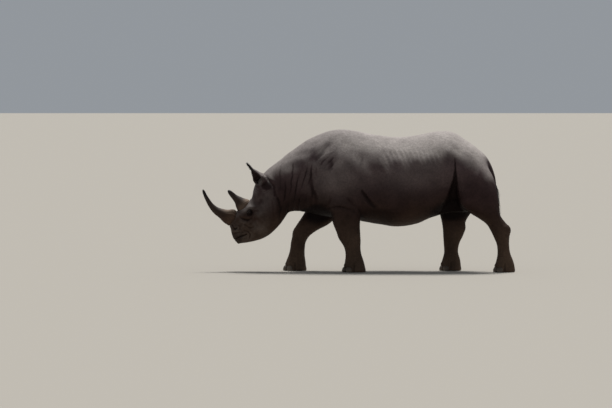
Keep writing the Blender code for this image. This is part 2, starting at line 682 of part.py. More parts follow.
def main():
    collection = bpy.data.collections.new("black_rhinoceros")
    bpy.context.scene.collection.children.link(collection)
    flesh = thinned(shaped(fused_flesh()))
    set_in = {
        "tail": (tail_loft(), HIDE, 0.8),
        "horn_front": (horn("horn_front"), HORN, 0.6),
        "horn_rear": (horn("horn_rear"), HORN, 0.6),
        "ear_left": (ear("ear_left", -1), HIDE, 0.8),
        "ear_right": (ear("ear_right", 1), HIDE, 0.8),
        "eye_left": (eye("eye_left", -1), EYEBALL, 0.1),
        "eye_right": (eye("eye_right", 1), EYEBALL, 0.1),
    }
    for foot in FEET:
        for which in NAILS:
            set_in[f"toenail_{foot}_{which}"] = (toenail(foot, which), NAIL, 0.6)
    for solid, _, _ in set_in.values():
        socket = grown(solid, CONTACT_GAP)
        cut(flesh, socket)
        bpy.data.objects.remove(socket)
    nodes = []
    for name in LEGS:
        leg = copy_of(flesh, name)
        region = leg_region(name, 0)
        cut(leg, region, "INTERSECT")
        bpy.data.objects.remove(region)
        nodes.append(leg)
    for name in LEGS:
        region = leg_region(name, CUT_WIDTH)
        cut(flesh, region)
        bpy.data.objects.remove(region)
    neck_cut, neck_way = (Vector(part) for part in NECK_CUT)
    head_cut, head_way = (Vector(part) for part in HEAD_CUT)
    trunk = halved(copy_of(flesh, "trunk"), neck_cut, -neck_way)
    neck = halved(copy_of(flesh, "neck"), neck_cut + neck_way * CUT_WIDTH, neck_way)
    neck = halved(neck, head_cut, -head_way)
    head = halved(copy_of(flesh, "head"), head_cut + head_way * CUT_WIDTH, head_way)
    bpy.data.objects.remove(flesh)
    nodes += [trunk, neck, head]
    for node in nodes:
        material_for(node, HIDE, 0.8)
    for solid, colour, roughness in set_in.values():
        material_for(solid, colour, roughness)
        nodes.append(solid)
    corners = np.array([v.co for node in nodes for v in node.data.vertices])
    low, high = corners.min(axis=0), corners.max(axis=0)
    shift = Matrix.Translation((-(low[0] + high[0]) / 2, -(low[1] + high[1]) / 2, -low[2]))
    for node in nodes:
        node.data.transform(shift)
        bpy.context.scene.collection.objects.unlink(node)
        collection.objects.link(node)


for scene_object in list(bpy.data.objects):
    bpy.data.objects.remove(scene_object, do_unlink=True)
main()
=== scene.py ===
"""A black rhinoceros, walking with its head lowered: its hide, horns, eyes, toenails and hair.

The head points to -X and the left side to -Y, in metres. The hide is one skin over the flesh of
the frame. Each section makes one kind of piece, in the order in which they are put on.
"""

import json
import math

import bmesh
import bpy
import numpy as np
from mathutils import Matrix, Vector

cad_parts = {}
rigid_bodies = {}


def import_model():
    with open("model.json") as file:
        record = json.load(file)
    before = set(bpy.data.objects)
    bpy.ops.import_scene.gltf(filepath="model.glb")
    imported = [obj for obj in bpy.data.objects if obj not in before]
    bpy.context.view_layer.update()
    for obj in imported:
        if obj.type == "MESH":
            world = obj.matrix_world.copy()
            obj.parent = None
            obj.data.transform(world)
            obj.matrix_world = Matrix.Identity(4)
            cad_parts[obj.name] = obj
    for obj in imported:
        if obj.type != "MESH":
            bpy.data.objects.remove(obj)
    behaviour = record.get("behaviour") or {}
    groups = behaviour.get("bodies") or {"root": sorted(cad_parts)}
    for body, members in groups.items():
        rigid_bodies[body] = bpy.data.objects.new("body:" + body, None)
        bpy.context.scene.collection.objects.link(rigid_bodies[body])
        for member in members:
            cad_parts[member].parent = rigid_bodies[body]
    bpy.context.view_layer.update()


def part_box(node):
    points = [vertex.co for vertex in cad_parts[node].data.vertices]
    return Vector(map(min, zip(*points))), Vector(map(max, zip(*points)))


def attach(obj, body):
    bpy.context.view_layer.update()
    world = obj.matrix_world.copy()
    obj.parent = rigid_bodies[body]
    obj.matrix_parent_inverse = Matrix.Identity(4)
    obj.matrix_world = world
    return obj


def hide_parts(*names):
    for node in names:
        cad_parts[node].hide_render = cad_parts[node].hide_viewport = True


for leftover in list(bpy.data.objects):
    bpy.data.objects.remove(leftover, do_unlink=True)
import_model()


# --------------------------------------------------------------------------------------------
# The stage: a plain pale floor out to the horizon, one soft light high overhead and a little
# beyond the animal, and an even pale light from all round. The camera stands far off, at eye
# height, square to the animal's side.

CAMERA_DISTANCE = 36.6
CAMERA_HEIGHT = 1.77
VIEW_WIDTH = 6.58
AIM = Vector((-0.560, 0.0, 0.7245))
SENSOR = 36.0
FLOOR_HALF = 900.0
FLOOR_TONE, STUDIO_TONE = "#a8a298", "#dde4ec"
OVERHEAD_STRENGTH = 3.6
OVERHEAD_SPREAD = math.radians(22)
OVERHEAD_TILT = (math.radians(-21), math.radians(4), 0.0)
STUDIO_STRENGTH = 0.40


def linear(colour):
    """An sRGB hex colour as linear light, by undoing the display curve on each channel."""
    channels = np.array([int(colour[i : i + 2], 16) for i in (1, 3, 5)]) / 255
    painted_shade, bright = channels / 12.92, ((channels + 0.055) / 1.055) ** 2.4
    return (*np.where(channels <= 0.04045, painted_shade, bright).tolist(), 1.0)


def configure(item, settings):
    for name, setting in settings.items():
        setattr(item, name, setting)


def feed(node, inputs):
    """Sets a node's inputs: the output of another node is linked, and a value is set."""
    for name, value in inputs.items():
        if isinstance(value, bpy.types.NodeSocket):
            node.id_data.links.new(value, node.inputs[name])
        else:
            node.inputs[name].default_value = value


def add_node(material, kind, inputs, output, **settings):
    """Adds a node with its settings and inputs, and gives one of its outputs."""
    node = material.node_tree.nodes.new("ShaderNode" + kind)
    configure(node, settings)
    feed(node, inputs)
    return node.outputs[output]


def new_material(name):
    """A material, and its shader node."""
    material = bpy.data.materials.new(name)
    material.use_nodes = True
    return material, material.node_tree.nodes["Principled BSDF"]


def link_object(name, data):
    obj = bpy.data.objects.new(name, data)
    bpy.context.scene.collection.objects.link(obj)
    return obj


floor_mesh = bpy.data.meshes.new("floor")
floor_corners = [(sx * FLOOR_HALF, sy * FLOOR_HALF, 0) for sx, sy in ((-1, -1), (1, -1), (1, 1), (-1, 1))]
floor_mesh.from_pydata(floor_corners, [], [(0, 1, 2, 3)])
floor = link_object("floor", floor_mesh)
# Matt painted studio floor: no gleam, only an even pale ground.
floor_paint, floor_shader = new_material("matt_floor_paint")
feed(floor_shader, {"Base Color": linear(FLOOR_TONE), "Roughness": 0.95, "Specular IOR Level": 0.1})
floor_mesh.materials.append(floor_paint)

overhead_light = bpy.data.lights.new("overhead", "SUN")
overhead_light.energy = OVERHEAD_STRENGTH
overhead_light.angle = OVERHEAD_SPREAD
overhead = link_object("overhead", overhead_light)
overhead.rotation_euler = OVERHEAD_TILT
studio = bpy.data.worlds.new("studio")
studio.use_nodes = True
feed(studio.node_tree.nodes["Background"], {"Color": linear(STUDIO_TONE), "Strength": STUDIO_STRENGTH})
bpy.context.scene.world = studio

lens = bpy.data.cameras.new("camera")
lens.sensor_width = SENSOR
lens.lens = SENSOR * CAMERA_DISTANCE / VIEW_WIDTH
lens.clip_end = 4 * FLOOR_HALF
camera = link_object("camera", lens)
camera.location = (AIM.x, -CAMERA_DISTANCE, CAMERA_HEIGHT)
camera.rotation_euler = (AIM - camera.location).to_track_quat("-Z", "Y").to_euler()
bpy.context.scene.camera = camera
bpy.context.scene.view_settings.view_transform = "Standard"


# --------------------------------------------------------------------------------------------
# The flesh under the hide: a body from the rump to the lip, four legs, a tail and two ears, lofted
# one by one and fused into a single skin. Lengths in its tables count from a point between the
# shoulders on the floor; the eyes of the frame say where that point stands.

LEFT, RIGHT = -1, 1
SIDES = {"left": LEFT, "right": RIGHT}
BARREL_WIDTH = 0.76
HEAD_WIDTH = 0.33
WITHERS_HEIGHT = 1.53
HALF_BARREL = BARREL_WIDTH / 2
HALF_HEAD = HEAD_WIDTH / 2
EYE = Vector((-1.150, 0.131, 0.636))
EAR_LENGTH = 0.269
EAR_WIDTH = 0.131
EAR_THICKNESS = 0.011
EAR_BASE = Vector((-1.015, 0.105, 0.942))
EAR_TURN, EAR_LEAN_OUT, EAR_LEAN_FORWARD = -38, 19, -36
EAR_HALF_WIDTH = ((0, 0.15, 0.3, 0.45, 0.6, 0.72, 0.85, 1), (0.9, 1, 0.94, 0.64, 0.43, 0.18, 0.11, 0.03))
EAR_ROLL = ((0, 0.15, 0.4, 1), (2.9, 2.45, 1.85, 1.2))
VOXEL = 0.005

# The body from the rump to the lip. Each station is a slice through the middle plane, from its
# back point to its belly point (x, z), with its half width, the share of its height at which it
# is widest, and how square its upper and lower halves are (2 is an ellipse).
BODY = {
    "seat": ((1.440, 1.03), (1.420, 0.80), 0.11, 0.50, 2.0, 2.0),
    "buttock": ((1.402, 1.177), (1.350, 0.700), 0.225, 0.55, 2.0, 2.2),
    "tail_head": ((1.314, 1.306), (1.240, 0.650), 0.275, 0.54, 2.0, 2.2),
    "croup": ((1.185, 1.405), (1.110, 0.635), 0.81 * HALF_BARREL, 0.53, 1.9, 2.2),
    "hips": ((1.030, 1.486), (0.960, 0.625), 0.87 * HALF_BARREL, 0.52, 1.95, 2.1),
    "flank": ((0.850, 1.503), (0.810, 0.582), 0.93 * HALF_BARREL, 0.47, 2.0, 2.1),
    "loin": ((0.640, 1.463), (0.630, 0.508), 0.99 * HALF_BARREL, 0.43, 2.0, 2.1),
    "belly": ((0.430, 1.446), (0.440, 0.484), 1.00 * HALF_BARREL, 0.42, 2.0, 2.1),
    "ribs": ((0.200, 1.470), (0.210, 0.512), 0.96 * HALF_BARREL, 0.42, 1.95, 2.1),
    "girth": ((0.000, 1.508), (0.010, 0.548), 0.89 * HALF_BARREL, 0.42, 1.85, 2.1),
    "withers": ((-0.190, WITHERS_HEIGHT), (-0.190, 0.575), 0.82 * HALF_BARREL, 0.42, 1.8, 2.1),
    "shoulder": ((-0.370, 1.488), (-0.380, 0.600), 0.76 * HALF_BARREL, 0.42, 1.8, 2.0),
    "neck_base": ((-0.540, 1.410), (-0.560, 0.640), 0.68 * HALF_BARREL, 0.44, 1.8, 1.9),
    "neck": ((-0.700, 1.298), (-0.680, 0.648), 0.59 * HALF_BARREL, 0.46, 1.9, 1.9),
    "nape": ((-0.850, 1.180), (-0.735, 0.632), 1.17 * HALF_HEAD, 0.48, 2.0, 1.9),
    "poll": ((-0.975, 1.080), (-0.780, 0.570), 1.04 * HALF_HEAD, 0.52, 2.1, 2.0),
    "crown": ((-1.065, 0.985), (-0.825, 0.508), 1.00 * HALF_HEAD, 0.56, 2.3, 2.0),
    "forehead": ((-1.108, 0.880), (-0.880, 0.448), 0.98 * HALF_HEAD, 0.60, 2.4, 2.0),
    "brow": ((-1.130, 0.785), (-0.950, 0.388), 0.92 * HALF_HEAD, 0.64, 2.5, 2.0),
    "horn_seat": ((-1.185, 0.715), (-1.025, 0.348), 0.80 * HALF_HEAD, 0.64, 2.4, 2.0),
    "bridge": ((-1.262, 0.662), (-1.100, 0.326), 0.67 * HALF_HEAD, 0.60, 2.3, 2.1),
    "nose": ((-1.325, 0.600), (-1.160, 0.316), 0.60 * HALF_HEAD, 0.56, 2.3, 2.2),
    "nostril": ((-1.358, 0.515), (-1.205, 0.308), 0.58 * HALF_HEAD, 0.50, 2.3, 2.3),
    "muzzle": ((-1.354, 0.435), (-1.240, 0.303), 0.49 * HALF_HEAD, 0.48, 2.2, 2.2),
    "lip": ((-1.330, 0.360), (-1.277, 0.295), 0.26 * HALF_HEAD, 0.50, 2.0, 2.0),
}

# Each leg as level slices from the top down: height, front edge and back edge along x, and the
# inner and outer edges as distances from the middle plane. The topmost slices lie in the body.
LEGS = {
    "leg_front_left": (LEFT, (
        (1.08, -0.360, -0.02, 0.06, 0.235), (0.88, -0.370, 0.040, 0.06, 0.285),
        (0.74, -0.325, 0.062, 0.07, 0.290), (0.64, -0.285, 0.046, 0.08, 0.278),
        (0.50, -0.250, 0.032, 0.09, 0.268), (0.40, -0.208, 0.036, 0.095, 0.264),
        (0.33, -0.172, 0.038, 0.095, 0.258), (0.26, -0.138, 0.034, 0.10, 0.250),
        (0.20, -0.126, 0.042, 0.10, 0.252), (0.13, -0.128, 0.066, 0.09, 0.262),
        (0.06, -0.138, 0.086, 0.075, 0.275), (0.00, -0.142, 0.092, 0.07, 0.280),
    )),
    "leg_front_right": (RIGHT, (
        (1.08, -0.420, -0.06, 0.06, 0.235), (0.88, -0.470, -0.06, 0.06, 0.280),
        (0.74, -0.520, -0.120, 0.07, 0.282), (0.64, -0.560, -0.180, 0.08, 0.275),
        (0.56, -0.605, -0.235, 0.09, 0.270), (0.49, -0.648, -0.320, 0.095, 0.265),
        (0.43, -0.676, -0.435, 0.10, 0.262), (0.37, -0.692, -0.512, 0.10, 0.258),
        (0.31, -0.708, -0.550, 0.10, 0.252), (0.24, -0.716, -0.562, 0.10, 0.248),
        (0.17, -0.734, -0.562, 0.095, 0.255), (0.09, -0.762, -0.550, 0.08, 0.272),
        (0.00, -0.776, -0.542, 0.07, 0.280),
    )),
    "leg_hind_left": (LEFT, (
        (1.20, 1.020, 1.290, 0.04, 0.205), (1.13, 1.020, 1.392, 0.04, 0.258),
        (1.06, 1.020, 1.437, 0.04, 0.292), (0.92, 1.030, 1.488, 0.05, 0.320),
        (0.79, 1.060, 1.512, 0.06, 0.318), (0.69, 1.120, 1.528, 0.07, 0.298),
        (0.61, 1.240, 1.548, 0.085, 0.275), (0.53, 1.370, 1.590, 0.095, 0.258),
        (0.445, 1.432, 1.640, 0.10, 0.248), (0.38, 1.462, 1.634, 0.105, 0.240),
        (0.29, 1.498, 1.632, 0.115, 0.232), (0.20, 1.504, 1.642, 0.11, 0.235),
        (0.12, 1.488, 1.672, 0.095, 0.250), (0.06, 1.474, 1.688, 0.085, 0.262),
        (0.00, 1.470, 1.690, 0.08, 0.265),
    )),
    "leg_hind_right": (RIGHT, (
        (1.20, 0.940, 1.280, 0.04, 0.205), (1.13, 0.910, 1.370, 0.04, 0.256),
        (1.06, 0.890, 1.400, 0.04, 0.290), (0.92, 0.862, 1.415, 0.05, 0.320),
        (0.79, 0.860, 1.375, 0.06, 0.315), (0.69, 0.878, 1.300, 0.07, 0.295),
        (0.61, 0.900, 1.225, 0.085, 0.275), (0.53, 0.922, 1.180, 0.095, 0.258),
        (0.445, 0.934, 1.168, 0.10, 0.248), (0.38, 0.936, 1.152, 0.105, 0.240),
        (0.29, 0.944, 1.112, 0.115, 0.234), (0.20, 0.948, 1.098, 0.11, 0.235),
        (0.12, 0.928, 1.120, 0.095, 0.250), (0.06, 0.912, 1.128, 0.085, 0.262),
        (0.00, 0.908, 1.130, 0.08, 0.265),
    )),
}

# The tail hangs close behind the buttocks: points (x, z) down its middle and its radius there.
TAIL = (
    (1.225, 1.300, 0.050), (1.322, 1.264, 0.037), (1.412, 1.162, 0.028), (1.464, 1.040, 0.022),
    (1.490, 0.900, 0.018), (1.498, 0.780, 0.016), (1.502, 0.690, 0.013),
)


def smooth_through(keys, values, at):
    """A smooth curve through the values at the keys: cubic pieces whose slopes are the mean of
    the slopes on either side, weighted so that uneven spacing makes no ripple."""
    keys, values = np.asarray(keys, float), np.asarray(values, float)
    span = np.diff(keys)[:, None]
    rise = np.diff(values, axis=0) / span
    inner = (rise[:-1] * span[1:] + rise[1:] * span[:-1]) / (span[1:] + span[:-1])
    slope = np.vstack([rise[:1], inner, rise[-1:]])
    piece = np.clip(np.searchsorted(keys, at, side="right") - 1, 0, len(keys) - 2)
    step, t = span[piece], ((at - keys[piece]) / span[piece, 0])[:, None]
    return (
        values[piece] * (1 + 2 * t) * (1 - t) ** 2
        + step * slope[piece] * t * (1 - t) ** 2
        + values[piece + 1] * t**2 * (3 - 2 * t)
        + step * slope[piece + 1] * t**2 * (t - 1)
    )


def steps_along(points):
    """The distance from each point to the next."""
    return np.linalg.norm(np.diff(points, axis=0), axis=1)


def dense_rows(stations, distances, rows_between):
    """Rows of station values, evenly many between each pair of stations."""
    keys = np.concatenate([[0], np.cumsum(distances)])
    count = (len(keys) - 1) * rows_between + 1
    at = np.interp(np.linspace(0, len(keys) - 1, count), np.arange(len(keys)), keys)
    return smooth_through(keys, stations, at)


def path_rows(table, rows_between):
    """Rows of (x, z, radii) along a path in the middle plane, from a table of its points."""
    stations = np.array(table)
    return dense_rows(stations, steps_along(stations[:, :2]), rows_between)


def round_about(count):
    """Evenly spaced turns round a circle."""
    return np.arange(count) * 2 * math.pi / count


def closed_tube(rings):
    """Points and faces of a skin over rings of points, with a fan of faces at each end."""
    rows, around, _ = rings.shape
    first = np.arange(rows * around).reshape(rows, around)
    after = np.roll(first, -1, axis=1)
    sides = np.stack([first[:-1], after[:-1], after[1:], first[1:]], axis=-1).reshape(-1, 4)
    hubs = rows * around + np.array([0, 1])
    start = np.stack([after[0], first[0], np.full(around, hubs[0])], axis=-1)
    end = np.stack([first[-1], after[-1], np.full(around, hubs[1])], axis=-1)
    points = np.vstack([rings.reshape(-1, 3), rings[0].mean(axis=0), rings[-1].mean(axis=0)])
    return points, [*sides.tolist(), *start.tolist(), *end.tolist()]


def joined(name, shapes):
    """One object from several (points, faces), with its faces turned outwards."""
    points, faces, base = [], [], 0
    for some_points, some_faces in shapes:
        points.append(some_points)
        faces += [[base + corner for corner in face] for face in some_faces]
        base += len(some_points)
    mesh = bpy.data.meshes.new(name)
    mesh.from_pydata(np.vstack(points).tolist(), [], faces)
    shape = bmesh.new()
    shape.from_mesh(mesh)
    bmesh.ops.recalc_face_normals(shape, faces=shape.faces)
    shape.to_mesh(mesh)
    shape.free()
    return link_object(name, mesh)


def body_rings():
    """Slices through the body: each is a superellipse from its back point to its belly point in
    the middle plane, widest at its own share of the height."""
    stations = np.array([(*top, *low, *rest) for top, low, *rest in BODY.values()])
    middles = (stations[:, 0:2] + stations[:, 2:4]) / 2
    rows = dense_rows(stations, steps_along(middles), 14)
    angle = round_about(120)
    half_width, widest, upper, lower = (rows[:, i, None] for i in range(4, 8))
    up, out = np.sin(angle)[None, :], np.cos(angle)[None, :]
    exponent = 2 / np.where(up > 0, upper, lower)
    rise = np.sign(up) * np.abs(up) ** exponent
    share = widest + np.where(up > 0, 1 - widest, widest) * rise
    side = half_width * np.sign(out) * np.abs(out) ** exponent
    back, belly = rows[:, None, 0:2], rows[:, None, 2:4]
    middle = belly + (back - belly) * share[:, :, None]
    return np.stack([middle[:, :, 0], side, middle[:, :, 1]], axis=2)


def leg_rings(side, slices):
    """Level ellipses from the top of the leg to the sole."""
    stations = np.array(slices)
    rows = dense_rows(stations, -np.diff(stations[:, 0]), 12)
    angle = round_about(64)
    height, front, rear, inner, outer = (rows[:, i, None] for i in range(5))
    x = (front + rear) / 2 - (rear - front) / 2 * np.cos(angle)
    y = side * ((inner + outer) / 2 + (outer - inner) / 2 * np.sin(angle))
    return np.stack([x, y, np.broadcast_to(height, x.shape)], axis=2)


def rings_along(points, radii, around):
    """Round rings square to a path in the middle plane."""
    along = np.gradient(points, axis=0)
    along /= np.linalg.norm(along, axis=1)[:, None]
    across = np.array([0.0, 1.0, 0.0])
    outward = np.cross(along, across)
    angle = round_about(around)[None, :, None]
    spokes = outward[:, None, :] * np.cos(angle) + across[None, None, :] * np.sin(angle)
    return points[:, None, :] + np.asarray(radii)[:, None, None] * spokes


def in_middle_plane(rows):
    """The (x, z) of each row as a point with y = 0."""
    return np.stack([rows[:, 0], np.zeros(len(rows)), rows[:, 1]], axis=1)


def ear_place(side):
    """Where an ear stands: turned to face out and forward, then leant, then set on the head."""
    facing = Matrix.Rotation(math.radians(EAR_TURN), 4, "Z")
    outward = Matrix.Rotation(math.radians(EAR_LEAN_OUT), 4, "X")
    forward = Matrix.Rotation(math.radians(EAR_LEAN_FORWARD), 4, "Y")
    stand = Matrix.Translation((EAR_BASE.x, -EAR_BASE.y, EAR_BASE.z))
    return np.array(Matrix.Diagonal((1, -side, 1, 1)) @ stand @ forward @ outward @ facing)


def turned(ways, place):
    """The ways, turned as the placement turns."""
    return ways @ place[:3, :3].T


def carried(points, place):
    """The points, turned and then moved by the placement."""
    return turned(points, place) + place[:3, 3]


def ear_sheet(u, v):
    """The middle of the ear's wall, a rolled leaf: half width swells and narrows along it, u from
    0 to 1, and the roll across it, v from -1 to 1, opens from a tube at the root to a shallow
    curve at the tip."""
    half = EAR_WIDTH / 2 * np.interp(u, *EAR_HALF_WIDTH)
    widest = np.interp(u, *EAR_ROLL)
    roll = widest * v
    deep = half * 0.95 * (np.cos(roll) - 0.35 * np.cos(widest)) - 0.004 * u**2
    return np.stack([half * np.sin(roll), deep, EAR_LENGTH * u], axis=-1)


def ear_rings(side):
    """The ear's wall, from its outer face round the rim to its inner face, ring by ring."""
    u, v = np.meshgrid(np.linspace(0, 1, 60), np.linspace(-1, 1, 61), indexing="ij")
    sheet = ear_sheet(u, v)
    normal = np.cross(np.gradient(sheet, axis=0), np.gradient(sheet, axis=1))
    normal /= np.linalg.norm(normal, axis=2)[:, :, None] + 1e-12
    wall = EAR_THICKNESS / 2 * np.interp(u, (0, 0.5, 1), (1.5, 1.0, 0.6))[:, :, None]
    rings = np.concatenate([sheet + normal * wall, (sheet - normal * wall)[:, ::-1]], axis=1)
    return carried(rings, ear_place(side))


def settle(obj):
    """Replaces the object's mesh by what its modifiers make of it."""
    graph = bpy.context.evaluated_depsgraph_get()
    mesh = bpy.data.meshes.new_from_object(obj.evaluated_get(graph))
    obj.modifiers.clear()
    obj.data = mesh


def points_of(mesh, read="co"):
    """The place of each point, or its normal."""
    flat = np.empty(len(mesh.vertices) * 3, np.float32)
    (mesh.vertices if read == "co" else mesh.vertex_normals).foreach_get(read, flat)
    return flat.reshape(-1, 3).astype(float)


def normals_of(mesh):
    return points_of(mesh, "vector")


def move_to(mesh, points):
    mesh.vertices.foreach_set("co", points.astype(np.float32).ravel())
    mesh.update()


def rework(obj, kind, share, **settings):
    """Applies a modifier to each point by its share from 0 to 1, in tenths."""
    group = obj.vertex_groups.new(name="share")
    tenths = np.round(share * 10).astype(int)
    for tenth in range(1, 11):
        group.add(np.flatnonzero(tenths == tenth).tolist(), tenth / 10, "REPLACE")
    modifier = obj.modifiers.new(kind.lower(), kind)
    configure(modifier, {"vertex_group": group.name, **settings})
    settle(obj)
    obj.vertex_groups.clear()


def soften(obj, share, rounds):
    """Draws each point half way to the middle of its neighbours, round after round."""
    rework(obj, "SMOOTH", share, factor=0.5, iterations=rounds)


def ramp(values, start, end):
    """0 before start, 1 after end, and an eased slope between; start may be the greater."""
    t = np.clip((values - start) / (end - start), 0, 1)
    return t * t * (3 - 2 * t)


tail_rows = path_rows(TAIL, 12)
ears = [closed_tube(ear_rings(side)) for side in SIDES.values()]
flesh = [closed_tube(body_rings())]
flesh += [closed_tube(leg_rings(side, slices)) for side, slices in LEGS.values()]
flesh += [closed_tube(rings_along(in_middle_plane(tail_rows), tail_rows[:, 2], 32)), *ears]
skin = joined("skin", flesh)
configure(skin.modifiers.new("fuse", "REMESH"), {"mode": "VOXEL", "voxel_size": VOXEL})
settle(skin)
ear_guide = joined("ear_guide", ears)
skin_points = points_of(skin.data)
above_legs = ramp(skin_points[:, 0], -0.75, -0.60) * ramp(skin_points[:, 2], 0.52, 0.67)
soften(skin, np.ones(len(skin_points)), 5)
# The smaller the voxels, the more rounds it takes to smooth as far.
soften(skin, above_legs, int(22 * (0.013 / VOXEL) ** 2))


def near_ear(points):
    """1 on the free part of the ears, easing to 0 at their roots, with 0 on the rest."""
    share = np.zeros(len(points))
    for side in SIDES.values():
        local = carried(points, np.linalg.inv(ear_place(side)))
        beside_it = np.hypot(local[:, 0], local[:, 1]) < 0.75 * EAR_WIDTH
        share += ramp(local[:, 2], 0.045, 0.085) * beside_it * (local[:, 2] < EAR_LENGTH + 0.02)
    return np.minimum(share, 1)


# The voxels leave the thin rims of the ears ragged, so the ears are laid back on their own shape.
rework(skin, "SHRINKWRAP", near_ear(points_of(skin.data)), target=ear_guide)
bpy.data.objects.remove(ear_guide, do_unlink=True)


# --------------------------------------------------------------------------------------------
# Muscle, bone and folds. The hide is thick and stiff, so it creases where the animal bends: in
# rings round the neck, behind the elbow and in front of the thigh, over the knees and ankles. It
# hangs smoother on the ribs, and shows the blade bone, the hip and the big muscles under it.

BOTH = 0

# Ripples and rolls of the hide: how far apart they lie, and how deep they are.
NECK_SPACING, NECK_DEPTH = 0.065, 0.0080
NECK_FINE_SPACING, NECK_FINE_DEPTH = 0.021, 0.0014
SHOULDER_SPACING, SHOULDER_DEPTH = 0.050, 0.0026
RIB_SPACING, RIB_DEPTH = 0.053, 0.0050
BARREL_SPACING, BARREL_DEPTH = 0.084, 0.0030
HAUNCH_SPACING, HAUNCH_DEPTH = 0.062, 0.0024

# Swellings and hollows: side, centre with its distance from the middle plane, radii, height.
FORMS = {
    "hip_bone": (BOTH, (0.93, 0.25, 1.30), (0.10, 0.09, 0.09), 0.012),
    "loin_shelf": (BOTH, (0.74, 0.30, 1.20), (0.16, 0.12, 0.09), 0.011),
    "sacrum": (BOTH, (1.00, 0.00, 1.50), (0.16, 0.05, 0.08), 0.010),
    "blade_spine": (BOTH, (-0.20, 0.27, 1.22), (0.055, 0.12, 0.20), 0.015),
    "blade_muscle_behind": (BOTH, (-0.06, 0.29, 1.12), (0.09, 0.12, 0.18), 0.010),
    "hollow_behind_blade": (BOTH, (0.06, 0.30, 1.16), (0.07, 0.12, 0.16), -0.012),
    "upper_arm": (BOTH, (-0.20, 0.28, 0.93), (0.15, 0.12, 0.13), 0.018),
    "shoulder_point": (LEFT, (-0.36, 0.25, 0.88), (0.08, 0.10, 0.09), 0.014),
    "shoulder_point_far": (RIGHT, (-0.45, 0.25, 0.88), (0.08, 0.10, 0.10), 0.018),
    "elbow": (LEFT, (0.015, 0.27, 0.79), (0.055, 0.08, 0.06), 0.014),
    "elbow_far": (RIGHT, (-0.12, 0.27, 0.79), (0.055, 0.08, 0.06), 0.014),
    "forearm": (LEFT, (-0.15, 0.26, 0.60), (0.09, 0.08, 0.10), 0.008),
    "knee": (LEFT, (-0.185, 0.17, 0.365), (0.05, 0.07, 0.06), 0.010),
    "knee_far": (RIGHT, (-0.685, 0.17, 0.42), (0.06, 0.07, 0.06), 0.012),
    "haunch": (BOTH, (1.23, 0.30, 0.98), (0.18, 0.12, 0.22), 0.014),
    "thigh_front": (LEFT, (1.14, 0.30, 0.93), (0.06, 0.12, 0.18), 0.014),
    "stifle": (LEFT, (1.135, 0.27, 0.745), (0.06, 0.10, 0.06), 0.016),
    "stifle_far": (RIGHT, (0.90, 0.27, 0.745), (0.06, 0.10, 0.06), 0.016),
    "gaskin": (LEFT, (1.38, 0.25, 0.66), (0.08, 0.08, 0.08), 0.012),
    "hock": (LEFT, (1.625, 0.175, 0.475), (0.035, 0.05, 0.045), 0.012),
    "hock_hollow": (LEFT, (1.535, 0.24, 0.520), (0.025, 0.035, 0.05), -0.012),
    "hock_far": (RIGHT, (1.155, 0.175, 0.46), (0.035, 0.05, 0.045), 0.010),
    "hock_hollow_far": (RIGHT, (1.09, 0.24, 0.50), (0.03, 0.035, 0.05), -0.010),
    "jaw_muscle": (BOTH, (-0.975, 0.16, 0.60), (0.09, 0.08, 0.10), 0.014),
    "cheek_bone": (BOTH, (-1.070, 0.16, 0.615), (0.045, 0.06, 0.030), 0.010),
    "temple": (BOTH, (-1.030, 0.17, 0.760), (0.060, 0.06, 0.055), -0.011),
    "brow": (BOTH, (-1.130, 0.15, 0.688), (0.060, 0.05, 0.022), 0.016),
    "face_hollow": (BOTH, (-1.205, 0.11, 0.560), (0.045, 0.06, 0.060), -0.006),
    "nostril_wing": (BOTH, (-1.325, 0.085, 0.480), (0.040, 0.04, 0.045), 0.012),
    "upper_lip": (BOTH, (-1.305, 0.060, 0.395), (0.045, 0.05, 0.035), 0.008),
    "chin": (BOTH, (-1.190, 0.050, 0.325), (0.050, 0.05, 0.030), 0.006),
    "eye_socket": (BOTH, tuple(EYE), (0.040, 0.05, 0.031), -0.015),
}

